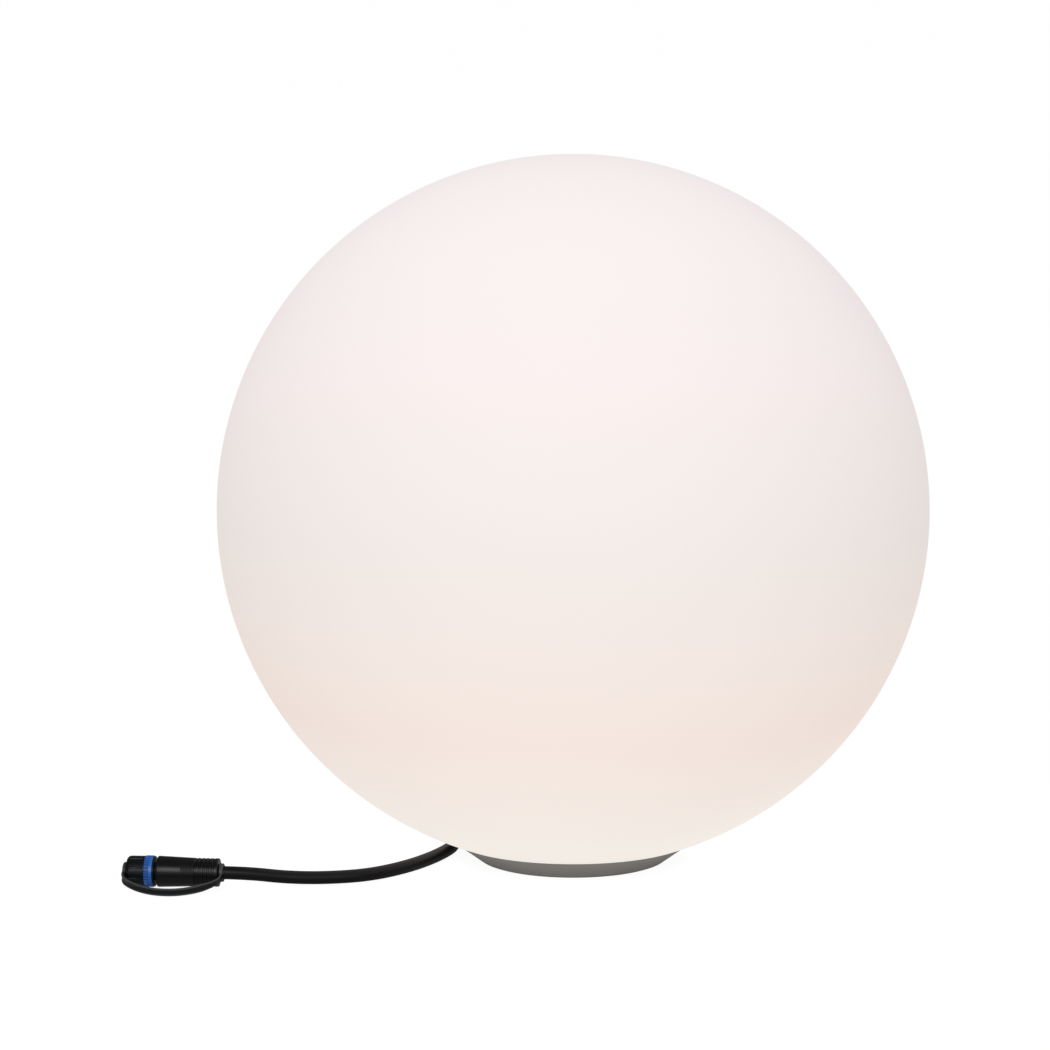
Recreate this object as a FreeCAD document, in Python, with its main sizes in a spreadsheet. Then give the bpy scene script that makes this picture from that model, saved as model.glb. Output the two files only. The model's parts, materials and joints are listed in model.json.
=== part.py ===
import FreeCAD, Part
import math
import os
import re
import Sketcher
from FreeCAD import Placement, Rotation, Vector

# Garden globe light: an opal ball on a low grey foot, with a rubber lead that ends in a
# round low-voltage plug with a screw ring and a tethered cap.
# Millimetres. The origin is the middle of the foot on the ground, +Z is up, the front is -Y,
# and the lead leaves through a notch at the back of the foot.

SIZES = {
    # opal globe
    "globe_radius": 200.0,
    "globe_wall": 3.0,
    "seam_radius": 68.0,
    "mouth_gap": 1.5,
    "boss_radius": 4.5,
    "boss_cap": 3.0,
    # foot ring and its rubber
    "foot_height": 11.5,
    "foot_lift": 0.5,
    "foot_bottom_radius": 53.0,
    "foot_inner_gap": 2.0,
    "foot_plate": 2.5,
    "foot_rim_width": 4.2,
    "foot_edge_round": 0.6,
    "foot_post_radius": 4.8,
    "rubber_inner_radius": 48.6,
    "rubber_width": 3.3,
    "rubber_sunk": 1.2,
    "rubber_fit": 0.1,
    # screws from the foot up into the globe
    "globe_screw_count": 4,
    "globe_screw_inset": 3.65,
    "globe_screw_radius": 2.0,
    "globe_screw_head_radius": 3.6,
    "globe_screw_head_height": 2.4,
    "globe_screw_length": 21.6,
    "globe_screw_seat": 0.3,
    "globe_screw_socket": 3.0,
    "small_screw_socket": 1.8,
    "screw_socket_depth": 1.0,
    "screw_fit": 0.05,
    "screw_play": 0.25,
    "screw_head_play": 0.4,
    "screw_tip_room": 1.0,
    # base pan
    "pan_flange": 3.5,
    "pan_flange_fit": 0.5,
    "pan_flange_radius": 53.5,
    "pan_inner_gap": 1.0,
    "pan_wall": 2.0,
    "pan_floor_low": 3.0,
    "pan_floor": 2.0,
    "gasket_inset": 1.65,
    "gasket_width": 3.7,
    "gasket_height": 1.7,
    "gasket_fit": 0.15,
    # cable channel in the pan
    "channel_half_width": 11.0,
    "channel_wall": 2.2,
    "channel_front": 18.5,
    "channel_back": 25.3,
    "channel_headroom": 10.5,
    # lead, with its boot measured from the edge of the foot
    "cable_radius": 3.7,
    "cable_fit": 0.05,
    "cable_exit_height": 4.9,
    "cable_end": 26.3,
    "boot_radius": 4.7,
    "boot_tip_radius": 4.15,
    "boot_start": 24.0,
    "boot_straight": 18.0,
    "boot_end": 16.0,
    "boot_groove_depth": 0.35,
    "boot_groove_width": 1.0,
    "boot_groove_step": 3.2,
    "boot_groove_count": 6,
    "boot_fit": 0.2,
    # cable gland
    "gland_height": 14.0,
    "gland_across_flats": 17.0,
    "gland_washer_thick": 1.5,
    "gland_washer_radius": 9.2,
    "gland_hex_thick": 5.0,
    "gland_stub_radius": 6.25,
    "gland_stub_length": 9.0,
    "gland_barrel_radius": 7.0,
    "gland_barrel_length": 11.0,
    "gland_bore_radius": 3.9,
    "gland_thread_fit": 0.15,
    "gland_seal_length": 7.0,
    "gland_seal_wall": 1.65,
    "gland_nut_gap": 2.0,
    "gland_nut_length": 13.5,
    "gland_nut_hex": 8.5,
    "gland_nut_crown": 4.0,
    "locknut_across_flats": 16.0,
    "locknut_thick": 4.0,
    # tower that carries the lamp
    "tower_radius": 33.0,
    "tower_wall": 2.0,
    "tower_height": 50.0,
    "lug_inset": 5.0,
    "lug_radius": 5.2,
    "lug_thick": 3.0,
    "lug_post_radius": 4.5,
    "lug_angle": 30.0,
    "tower_screw_radius": 1.5,
    "tower_screw_head_radius": 2.8,
    "tower_screw_head_height": 2.0,
    "tower_screw_length": 9.5,
    "spreader_boss_inset": 4.5,
    "spreader_boss_radius": 4.9,
    "spreader_boss_length": 12.0,
    "spreader_screw_count": 3,
    "spreader_screw_radius": 1.3,
    "spreader_screw_head_radius": 2.3,
    "spreader_screw_head_height": 1.8,
    "spreader_screw_length": 9.0,
    # lamp
    "spreader_sunk": 4.5,
    "spreader_thick": 2.0,
    "spreader_fit": 0.2,
    "lead_hole_radius": 4.0,
    "pad_radius": 20.5,
    "pad_thick": 0.5,
    "led_board_radius": 21.0,
    "led_board_thick": 1.6,
    "led_pitch": 14.5,
    "led_count": 12,
    "led_side": 3.5,
    "led_thick": 0.9,
    "led_turn": 15.0,
    "led_screw_count": 2,
    "led_screw_pitch": 18.6,
    "led_screw_radius": 1.0,
    "led_screw_head_radius": 1.8,
    "led_screw_head_height": 1.2,
    "led_screw_length": 3.6,
    "cap_dome_height": 18.0,
    "cap_dome_wall": 1.5,
    "cap_spigot_wall": 1.2,
    "cap_spigot_depth": 2.0,
    "cap_rim": 1.5,
    # driver
    "driver_post_radius": 3.0,
    "driver_post_height": 7.3,
    "driver_post_x": 9.5,
    "driver_post_y": 19.0,
    "driver_front_post_y": 7.0,
    "driver_board_radius": 27.0,
    "driver_board_thick": 1.6,
    "driver_board_front": 22.5,
    "driver_screw_radius": 1.2,
    "driver_screw_head_radius": 2.3,
    "driver_screw_head_height": 1.7,
    "driver_screw_length": 7.0,
    "inductor_radius": 6.2,
    "inductor_height": 9.0,
    "inductor_x": 15.0,
    "inductor_flange": 1.4,
    "inductor_waist": 4.6,
    "capacitor_radius": 4.0,
    "capacitor_height": 12.5,
    "capacitor_x": 14.5,
    "capacitor_spacing": 10.0,
    "chip_length": 6.0,
    "chip_width": 4.4,
    "chip_height": 1.6,
    "chip_spacing": 6.0,
    "terminal_width": 11.0,
    "terminal_depth": 7.6,
    "terminal_height": 9.0,
    "terminal_y": 18.0,
    "terminal_entry_height": 4.4,
    "core_radius": 1.1,
    "core_spacing": 2.7,
    "core_reach": 3.0,
    "core_play": 0.2,
    "core_seated": 2.5,
    "connector_width": 8.0,
    "connector_depth": 5.6,
    "connector_height": 7.0,
    "connector_y": 9.0,
    "led_lead_radius": 0.75,
    "led_lead_spacing": 3.6,
    "led_lead_play": 0.15,
    "solder_radius": 1.3,
    "solder_height": 0.8,
    # plug, measured along its axis from its back face
    "plug_body_length": 34.2,
    "plug_rear_radius": 7.8,
    "plug_front_radius": 8.6,
    "plug_edge": 0.7,
    "rib_start": 2.2,
    "rib_step": 2.4,
    "rib_gap": 1.1,
    "rib_depth": 0.6,
    "rib_count": 5,
    "insert_radius": 5.0,
    "insert_sunk": 14.0,
    "neck_lip": 0.4,
    "insert_fit": 0.05,
    "sleeve_radius": 4.6,
    "sleeve_length": 9.9,
    "sleeve_bore_radius": 3.4,
    "sleeve_bore_depth": 8.0,
    "pin_radius": 0.6,
    "pin_spacing": 3.2,
    "pin_length": 6.0,
    "pin_rooted": 3.0,
    "seal_tube_radius": 0.65,
    "seal_position": 5.5,
    "seal_seat_radius": 4.1,
    "clip_radius": 5.9,
    "clip_seat_radius": 4.25,
    "clip_thick": 0.8,
    "clip_mouth": 5.0,
    # screw ring of the plug
    "nut_gap": 1.2,
    "nut_length": 15.7,
    "nut_radius": 8.4,
    "nut_rear_wall": 1.8,
    "nut_bore_radius": 6.6,
    "nut_running_fit": 0.2,
    "nut_front_bevel": 2.0,
    "nut_front_step": 1.2,
    "nut_rear_bevel": 0.6,
    "nut_groove_count": 9,
    "nut_groove_turn": -15.5,
    "nut_groove_width": 1.1,
    "nut_groove_depth": 0.55,
    "nut_groove_end": 0.9,
    "band_start": 0.95,
    "band_length": 4.7,
    "band_radius": 8.7,
    "band_seat_radius": 7.5,
    "band_fit": 0.05,
    "band_tooth_count": 32,
    "band_tooth_gap": 0.85,
    "band_tooth_depth": 0.5,
    "band_tooth_length": 2.8,
    # sealing cap and its strap
    "cup_radius": 6.2,
    "cup_start": 6.3,
    "cup_length": 5.8,
    "cup_fit": 0.15,
    "cup_end_room": 0.6,
    "cup_bevel": 0.5,
    "stem_radius": 2.6,
    "stem_length": 1.2,
    "head_radius": 4.8,
    "head_thick": 2.0,
    "head_bevel": 0.8,
    "collar_wall": 1.4,
    "collar_length": 2.2,
    "collar_gap": 0.4,
    "strap_width": 4.4,
    "strap_thick": 1.2,
    "strap_reach": 24.0,
    "strap_leg": 0.5,
    "strap_corner": 11.0,
    "strap_ground_gap": 0.25,
    "strap_end_fit": 0.05,
}

# The lead as it lies on the ground, from behind its boot at the back of the foot to the plug.
CABLE_ROUTE = [
    (0.0, 106.0, 4.9),
    (-10.0, 132.0, 4.0),
    (-33.0, 150.0, 3.75),
    (-62.0, 150.0, 3.75),
    (-85.0, 132.0, 3.75),
    (-92.0, 104.0, 3.75),
    (-85.5, 75.0, 3.75),
    (-70.0, 45.0, 3.75),
    (-67.0, 14.0, 3.75),
    (-77.0, -14.0, 3.75),
    (-92.0, -40.0, 3.75),
    (-112.5, -61.0, 3.75),
    (-136.0, -69.0, 3.9),
    (-158.0, -73.5, 5.2),
    (-178.3, -78.9, 8.8),
    (-194.8, -77.46, 8.8),
]

# Share of the shorter run that each bend of a cable takes up.
BEND_SHARE = 0.45

doc = FreeCAD.newDocument("garden_globe_light")
sheet = doc.addObject("Spreadsheet::Sheet", "Sizes")
for row, (alias, value) in enumerate(SIZES.items(), start=1):
    sheet.set(f"A{row}", alias)
    sheet.set(f"B{row}", str(value))
    sheet.setAlias(f"B{row}", alias)
doc.recompute()

sub_parts = []


def bound(expression):
    """The expression with each size written as a cell of the sheet."""
    return re.sub(r"[a-z_]+", lambda word: ("Sizes." if word[0] in SIZES else "") + word[0], expression)


def number(expression):
    """The value of an expression at the present sizes."""
    result = sheet.evalExpression(expression)
    return float(getattr(result, "Value", result))


def circle(x, y, radius):
    return {"centre": (x, y), "radius": radius}


def rectangle(left, right, near, far):
    return {"corners": [(left, near), (right, near), (right, far), (left, far)]}


def turned_outline(corners, angle):
    """The same outline, turned about the origin."""
    return {"corners": [(f"{x} * cos({angle}) - {y} * sin({angle})",
                         f"{x} * sin({angle}) + {y} * cos({angle})") for x, y in corners]}


def hexagon(across_flats):
    """Corners of a hexagon with two corners on the X axis."""
    corners = []
    for corner in range(6):
        turn = 60 * corner
        radius = f"{across_flats} / 2 / cos(30)"
        corners.append((f"{radius} * cos({turn})", f"{radius} * sin({turn})"))
    return {"corners": corners}


def pin_corner(sketch, index, end, x, y):
    """Tie one end of an edge to a place given by two expressions."""
    for axis, expression in (("DistanceX", x), ("DistanceY", y)):
        constraint = sketch.addConstraint(Sketcher.Constraint(axis, index, end, number(expression)))
        sketch.setExpression(f"Constraints[{constraint}]", bound(expression))


def draw_circle(sketch, shape):
    x, y = shape["centre"]
    centre = Vector(number(x), number(y), 0)
    ring = Part.Circle(centre, Vector(0, 0, 1), number(shape["radius"]))
    index = sketch.addGeometry(ring, False)
    pin_corner(sketch, index, 3, x, y)
    constraint = sketch.addConstraint(Sketcher.Constraint("Radius", index, number(shape["radius"])))
    sketch.setExpression(f"Constraints[{constraint}]", bound(shape["radius"]))


def draw_outline(sketch, corners):
    """A closed outline. A corner is (x, y), or (x, y, radius, side) where an arc runs from it
    to the next corner, with its centre to the left (side 1) or to the right (side -1)."""
    ends = []
    for here, ahead in zip(corners, corners[1:] + corners[:1]):
        start = Vector(number(here[0]), number(here[1]), 0)
        finish = Vector(number(ahead[0]), number(ahead[1]), 0)
        if len(here) == 2:
            index = sketch.addGeometry(Part.LineSegment(start, finish), False)
            ends.append((index, 1, 2))
            continue
        radius, side = number(here[2]), here[3]
        chord = finish - start
        rise = math.sqrt(radius ** 2 - (chord.Length / 2) ** 2)
        left = Vector(-chord.y, chord.x, 0).normalize()
        centre = (start + finish) * 0.5 + left * (side * rise)
        first, last = (start, finish) if side > 0 else (finish, start)
        angles = [math.atan2(point.y - centre.y, point.x - centre.x) for point in (first, last)]
        ring = Part.Circle(centre, Vector(0, 0, 1), radius)
        index = sketch.addGeometry(Part.ArcOfCircle(ring, angles[0], angles[1]), False)
        ends.append((index, 1, 2) if side > 0 else (index, 2, 1))
    for (index, _, finish), (following, start, _) in zip(ends, ends[1:] + ends[:1]):
        sketch.addConstraint(Sketcher.Constraint("Coincident", index, finish, following, start))
    for (index, start, _), corner in zip(ends, corners):
        pin_corner(sketch, index, start, corner[0], corner[1])
        if len(corner) > 2:
            constraint = sketch.addConstraint(Sketcher.Constraint("Radius", index, number(corner[2])))
            sketch.setExpression(f"Constraints[{constraint}]", bound(corner[2]))


class Piece:
    """A sub-part: a PartDesign body with the sketches and features that make it."""

    def __init__(self, label, frame=Placement()):
        self.body = doc.addObject("PartDesign::Body", label)
        self.body.Label = label
        self.body.AllowCompound = True
        self.body.Placement = frame
        sub_parts.append(self.body)

    def sketch(self, plane, height):
        """An empty sketch on an origin plane of the body, raised along its normal."""
        sketch = self.body.newObject("Sketcher::SketchObject", "Sketch")
        support = next(item for item in self.body.Origin.OriginFeatures if item.Role == plane)
        sketch.AttachmentSupport = [(support, "")]
        sketch.MapMode = "FlatFace"
        sketch.setExpression("AttachmentOffset.Base.z", bound(height))
        return sketch

    def turned(self, corners, cut=False):
        """Turn an outline of (radius, height) corners about the Z axis of the body."""
        sketch = self.sketch("XZ_Plane", "0")
        draw_outline(sketch, corners)
        kind = "PartDesign::Groove" if cut else "PartDesign::Revolution"
        feature = self.body.newObject(kind, "Turned")
        feature.Profile = sketch
        feature.ReferenceAxis = (sketch, ["V_Axis"])
        feature.Angle = 360
        return feature

    def raised(self, shapes, low, high, cut=False):
        """Add, or cut away, flat shapes from one height of the body to another."""
        sketch = self.sketch("XY_Plane", low)
        for shape in shapes:
            if "radius" in shape:
                draw_circle(sketch, shape)
            else:
                draw_outline(sketch, shape["corners"])
        kind = "PartDesign::Pocket" if cut else "PartDesign::Pad"
        feature = self.body.newObject(kind, "Raised")
        feature.Profile = sketch
        feature.Reversed = cut
        feature.setExpression("Length", bound(f"({high}) - ({low})"))
        return feature

    def repeated(self, features, count):
        """Copy features round the Z axis of the body."""
        pattern = self.body.newObject("PartDesign::PolarPattern", "Pattern")
        pattern.Originals = features
        pattern.Axis = (features[0].Profile[0], ["N_Axis"])
        pattern.Angle = 360
        pattern.setExpression("Occurrences", bound(count))
        self.body.Tip = pattern
        return pattern

    def rounded(self, radius, height, size):
        """Fillet the full circles of one radius and height."""
        doc.recompute()
        base = self.body.Tip
        names = []
        for index, edge in enumerate(base.Shape.Edges, start=1):
            if not isinstance(edge.Curve, Part.Circle):
                continue
            level = abs(edge.Curve.Center.z - number(height)) < 1e-4
            if level and abs(edge.Curve.Radius - number(radius)) < 1e-4:
                names.append(f"Edge{index}")
        fillet = self.body.newObject("PartDesign::Fillet", "Rounded")
        fillet.Base = (base, names)
        fillet.setExpression("Radius", bound(size))
        return fillet


def rounded_route(points):
    """Straight runs joined by tangent arcs, and the least radius among the arcs."""
    corners = [Vector(*point) for point in points]
    edges = []
    start = corners[0]
    least_radius = math.inf
    for before, corner, after in zip(corners, corners[1:], corners[2:]):
        back = before - corner
        ahead = after - corner
        turn = math.pi - back.getAngle(ahead)
        trim = BEND_SHARE * min(back.Length, ahead.Length)
        radius = trim / math.tan(turn / 2)
        least_radius = min(least_radius, radius)
        back.normalize()
        ahead.normalize()
        enter = corner + back * trim
        leave = corner + ahead * trim
        middle = corner + (back + ahead).normalize() * (radius / math.cos(turn / 2) - radius)
        edges.append(Part.LineSegment(start, enter).toShape())
        edges.append(Part.Arc(enter, middle, leave).toShape())
        start = leave
    edges.append(Part.LineSegment(start, corners[-1]).toShape())
    return Part.Wire(edges), least_radius


def routed_tubes(label, routes, radius):
    """Round tubes along routes, as one sub-part, with their sizes printed."""
    tubes = []
    for points in routes:
        path, least_radius = rounded_route(points)
        along = Vector(*points[1]) - Vector(*points[0])
        section = Part.Wire([Part.makeCircle(radius, Vector(*points[0]), along)])
        tube = path.makePipeShell([section], True, False)
        expected = math.pi * radius ** 2 * path.Length
        if abs(tube.Volume / expected - 1) > 0.005:
            raise ValueError(f"{label}: the tube does not fill its route")
        print(f"{label}: length {path.Length:.1f}, least bend radius {least_radius:.1f},",
              f"lowest point {tube.optimalBoundingBox(False, False).ZMin:.2f}")
        tubes.append(tube)
    feature = doc.addObject("Part::Feature", label)
    feature.Label = label
    feature.Shape = tubes[0] if len(tubes) == 1 else Part.makeCompound(tubes)
    sub_parts.append(feature)
    return feature


# Heights that several pieces share.
SEAM_HEIGHT = "foot_height"
GLOBE_CENTRE = "(foot_height + sqrt(globe_radius ^ 2 - seam_radius ^ 2))"
RECESS_TOP = "(foot_height + globe_wall)"
GLOBE_FLOOR = "(foot_height + 2 * globe_wall)"
FLANGE_LOW = f"({RECESS_TOP} - pan_flange)"
FOOT_FLOOR = "(foot_lift + foot_plate)"
BOOT_START = "(seam_radius - boot_start)"
BOOT_END = "(seam_radius + boot_end)"
SCREW_SEAT = "(foot_lift + rubber_sunk + globe_screw_seat + globe_screw_head_height)"
SCREW_HOLE_TOP = f"({SCREW_SEAT} + globe_screw_length + screw_tip_room)"
PAN_FLOOR_TOP = "(pan_floor_low + pan_floor)"
ROOF_LOW = "(gland_height + channel_headroom)"
ROOF_TOP = f"({ROOF_LOW} + channel_wall)"
DRIVER_LOW = f"({ROOF_TOP} + driver_post_height)"
DRIVER_TOP = f"({DRIVER_LOW} + driver_board_thick)"
CORE_TOP = f"({DRIVER_TOP} + terminal_entry_height)"
CONNECTOR_TOP = f"({DRIVER_TOP} + connector_height)"
TOWER_TOP = f"({RECESS_TOP} + tower_height)"
SPREADER_LOW = f"({TOWER_TOP} - spreader_sunk)"
SPREADER_TOP = f"({SPREADER_LOW} + spreader_thick)"
LED_BOARD_LOW = f"({SPREADER_TOP} + pad_thick)"
LED_BOARD_TOP = f"({LED_BOARD_LOW} + led_board_thick)"

# Radii and pitches that follow from the tower, outwards to the screws and inwards to the bosses.
PAN_INNER = "(tower_radius + pan_inner_gap)"
TUB_RADIUS = f"({PAN_INNER} + pan_wall)"
FOOT_INNER = f"({TUB_RADIUS} + foot_inner_gap)"
MOUTH_RADIUS = "(tower_radius + mouth_gap)"
GASKET_INNER = f"({MOUTH_RADIUS} + gasket_inset)"
GASKET_OUTER = f"({GASKET_INNER} + gasket_width)"
GLOBE_SCREW_PITCH = f"({GASKET_OUTER} + globe_screw_inset)"
TOWER_INNER = "(tower_radius - tower_wall)"
LUG_PITCH = f"({TOWER_INNER} - lug_inset)"
SPREADER_BOSS_PITCH = f"({TOWER_INNER} - spreader_boss_inset)"

# Places on the plug, along its axis.
NUT_START = "(plug_body_length + nut_gap)"
NUT_END = f"({NUT_START} + nut_length)"
NUT_WALL_END = f"({NUT_START} + nut_rear_wall)"
CLIP_START = f"({NUT_WALL_END} + nut_running_fit)"
NECK_END = f"({CLIP_START} + clip_thick + neck_lip)"
SLEEVE_END = f"({NECK_END} + sleeve_length)"
SEAL_MIDDLE = f"({NECK_END} + seal_position)"
CUP_START = f"({NECK_END} + cup_start)"
CUP_END = f"({CUP_START} + cup_length)"
HEAD_START = f"({CUP_END} + stem_length)"


def at_angle(pitch, angle):
    """A place on a pitch circle."""
    return f"({pitch}) * cos({angle})", f"({pitch}) * sin({angle})"


# Opal globe: one blown shell whose underside is flat, with a mouth for the lamp and four
# bosses for the screws.
def make_globe_shell():
    inner_radius = "(globe_radius - globe_wall)"
    piece = Piece("globe_shell")
    piece.turned([
        (MOUTH_RADIUS, RECESS_TOP),
        ("pan_flange_radius + pan_flange_fit", RECESS_TOP),
        ("pan_flange_radius + pan_flange_fit", SEAM_HEIGHT),
        ("seam_radius", SEAM_HEIGHT, "globe_radius", 1),
        ("0", f"{GLOBE_CENTRE} + globe_radius"),
        ("0", f"{GLOBE_CENTRE} + {inner_radius}", inner_radius, -1),
        (f"sqrt({inner_radius} ^ 2 - ({GLOBE_CENTRE} - {RECESS_TOP}) ^ 2)", RECESS_TOP),
        ("pan_flange_radius + pan_flange_fit + globe_wall", RECESS_TOP),
        ("pan_flange_radius + pan_flange_fit + globe_wall", GLOBE_FLOOR),
        (MOUTH_RADIUS, GLOBE_FLOOR),
    ])
    x, y = at_angle(GLOBE_SCREW_PITCH, 45)
    boss = piece.raised([circle(x, y, "boss_radius")], GLOBE_FLOOR, f"{SCREW_HOLE_TOP} + boss_cap")
    piece.repeated([boss], "globe_screw_count")
    hole = piece.raised([circle(x, y, "globe_screw_radius + screw_fit")], RECESS_TOP,
                        SCREW_HOLE_TOP, cut=True)
    piece.repeated([hole], "globe_screw_count")


# Foot ring: a shallow flared ring with posts that clamp the pan, and a notch for the lead.
def make_foot_ring():
    flare = "(seam_radius - foot_bottom_radius) / (foot_height - foot_lift)"
    x, y = at_angle(GLOBE_SCREW_PITCH, 45)
    piece = Piece("foot_ring")
    piece.turned([
        (FOOT_INNER, "foot_lift"),
        ("foot_bottom_radius", "foot_lift"),
        ("seam_radius", SEAM_HEIGHT),
        ("seam_radius - foot_rim_width", SEAM_HEIGHT),
        (f"foot_bottom_radius + foot_plate * {flare} - foot_rim_width", FOOT_FLOOR),
        (FOOT_INNER, FOOT_FLOOR),
    ])
    piece.rounded("foot_bottom_radius", "foot_lift", "foot_edge_round")
    groove = "rubber_inner_radius - rubber_fit"
    piece.turned([
        (groove, "foot_lift - 1"),
        ("rubber_inner_radius + rubber_width + rubber_fit", "foot_lift - 1"),
        ("rubber_inner_radius + rubber_width + rubber_fit", "foot_lift + rubber_sunk"),
        (groove, "foot_lift + rubber_sunk"),
    ], cut=True)
    post = piece.raised([circle(x, y, "foot_post_radius")], FOOT_FLOOR, FLANGE_LOW)
    piece.repeated([post], "globe_screw_count")
    seat = piece.raised([circle(x, y, "globe_screw_head_radius + screw_head_play")],
                        "foot_lift", SCREW_SEAT, cut=True)
    piece.repeated([seat], "globe_screw_count")
    hole = piece.raised([circle(x, y, "globe_screw_radius + screw_play")], SCREW_SEAT,
                        FLANGE_LOW, cut=True)
    piece.repeated([hole], "globe_screw_count")
    half = "(boot_radius + boot_fit)"
    piece.raised([rectangle(f"-{half}", half, TUB_RADIUS, "seam_radius + pan_wall")],
                 "0", f"cable_exit_height + {half}", cut=True)


def make_rubber_foot():
    half = "(boot_radius + boot_fit + rubber_fit)"
    outer = "rubber_inner_radius + rubber_width"
    piece = Piece("rubber_foot")
    piece.raised([circle("0", "0", outer), circle("0", "0", "rubber_inner_radius")],
                 "0", "foot_lift + rubber_sunk")
    piece.raised([rectangle(f"-{half}", half, FOOT_INNER, "seam_radius")],
                 "0", "foot_lift + rubber_sunk", cut=True)


def make_screws(label, count, place, low, radius, length, head_radius, head_height, head_up, socket):
    """A group of screws: heads at the low end, or at the high end where head_up is set."""
    x, y = place
    head_low = f"{low} + {length}" if head_up else f"{low} - {head_height}"
    head_high = f"{head_low} + {head_height}"
    socket_low = f"{head_high} - screw_socket_depth" if head_up else head_low
    piece = Piece(label)
    shank = piece.raised([circle(x, y, radius)], low, f"{low} + {length}")
    head = piece.raised([circle(x, y, head_radius)], head_low, head_high)
    corners = [(f"{x} + {a}", f"{y} + {b}") for a, b in hexagon(socket)["corners"]]
    recess = piece.raised([{"corners": corners}], socket_low,
                          f"{socket_low} + screw_socket_depth", cut=True)
    piece.repeated([shank, head, recess], count)


# Base pan: a flange under the globe's mouth, a tub inside the foot, and a channel in the tub
# through which the lead reaches its gland.
def make_base_pan():
    outer_half = "(channel_half_width + channel_wall)"
    groove_inner = f"{GASKET_INNER} - gasket_fit"
    groove_outer = f"{GASKET_OUTER} + gasket_fit"
    piece = Piece("base_pan")
    piece.turned([
        ("0", "pan_floor_low"),
        (TUB_RADIUS, "pan_floor_low"),
        (TUB_RADIUS, FLANGE_LOW),
        ("pan_flange_radius", FLANGE_LOW),
        ("pan_flange_radius", RECESS_TOP),
        (PAN_INNER, RECESS_TOP),
        (PAN_INNER, PAN_FLOOR_TOP),
        ("0", PAN_FLOOR_TOP),
    ])
    piece.raised([rectangle(f"-{outer_half}", outer_half, "-channel_front - channel_wall",
                            "channel_back + channel_wall")], PAN_FLOOR_TOP, ROOF_TOP)
    piece.raised([rectangle(f"-{outer_half}", outer_half, "channel_back", PAN_INNER)],
                 PAN_FLOOR_TOP, RECESS_TOP)
    piece.turned([
        (groove_inner, f"{RECESS_TOP} - gasket_height"),
        (groove_outer, f"{RECESS_TOP} - gasket_height"),
        (groove_outer, f"{RECESS_TOP} + gasket_height"),
        (groove_inner, f"{RECESS_TOP} + gasket_height"),
    ], cut=True)
    for side in (-1, 1):
        place = circle(f"{side} * driver_post_x", "driver_post_y", "driver_post_radius")
        piece.raised([place], ROOF_TOP, DRIVER_LOW)
    piece.raised([circle("0", "-driver_front_post_y", "driver_post_radius")], ROOF_TOP, DRIVER_LOW)
    half = "channel_half_width"
    piece.raised([rectangle(f"-{half}", half, "-channel_front", "channel_back")],
                 "pan_floor_low", ROOF_LOW, cut=True)
    piece.raised([rectangle(f"-{half}", half, "channel_back - 1", f"{TUB_RADIUS} + pan_wall")],
                 "pan_floor_low", FLANGE_LOW, cut=True)
    stub_hole = circle("0", "0", "gland_stub_radius + gland_thread_fit")
    wall_hole = piece.body.newObject("PartDesign::Pocket", "GlandHole")
    wall_hole.Profile = upright_sketch(piece, stub_hole, "channel_front - 1")
    wall_hole.setExpression("Length", bound("channel_wall + 2"))
    wall_hole.Reversed = True
    for side in (-1, 1):
        for angle in ("lug_angle", "180 - lug_angle"):
            x, y = at_angle(LUG_PITCH, f"{side} * ({angle})")
            piece.raised([circle(x, y, "lug_post_radius")], PAN_FLOOR_TOP, RECESS_TOP)
            piece.raised([circle(x, y, "tower_screw_radius + screw_fit")],
                         f"{RECESS_TOP} - tower_screw_length + lug_thick - screw_tip_room",
                         RECESS_TOP, cut=True)
    driver_hole = f"{DRIVER_TOP} - driver_screw_length - screw_tip_room / 2"
    for x, y in (("-driver_post_x", "driver_post_y"), ("driver_post_x", "driver_post_y"),
                 ("0", "-driver_front_post_y")):
        piece.raised([circle(x, y, "driver_screw_radius + screw_fit")], driver_hole, DRIVER_LOW, cut=True)
    x, y = at_angle(GLOBE_SCREW_PITCH, 45)
    hole = piece.raised([circle(x, y, "globe_screw_radius + screw_play")], FLANGE_LOW,
                        RECESS_TOP, cut=True)
    piece.repeated([hole], "globe_screw_count")


def upright_sketch(piece, shape, forward):
    """A sketch that faces the front, this far in front of the middle of the lamp."""
    sketch = piece.sketch("XZ_Plane", forward)
    x, y = shape["centre"]
    draw_circle(sketch, {"centre": (x, f"gland_height + {y}"), "radius": shape["radius"]})
    return sketch


def make_globe_gasket():
    piece = Piece("globe_gasket")
    piece.raised([circle("0", "0", GASKET_OUTER), circle("0", "0", GASKET_INNER)],
                 f"{RECESS_TOP} - gasket_height", RECESS_TOP)


# Cable gland. Its axis runs from front to back, and its local Z points back along the lead.
def gland_frame():
    wall = Vector(0, -number("channel_front"), number("gland_height"))
    return Placement(wall, Rotation(Vector(1, 0, 0), -90))


HEX_END = "(gland_washer_thick + gland_hex_thick)"
BARREL_END = f"({HEX_END} + gland_barrel_length)"
GLAND_NUT_START = f"({HEX_END} + gland_nut_gap)"
GLAND_NUT_END = f"({GLAND_NUT_START} + gland_nut_length)"


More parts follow.
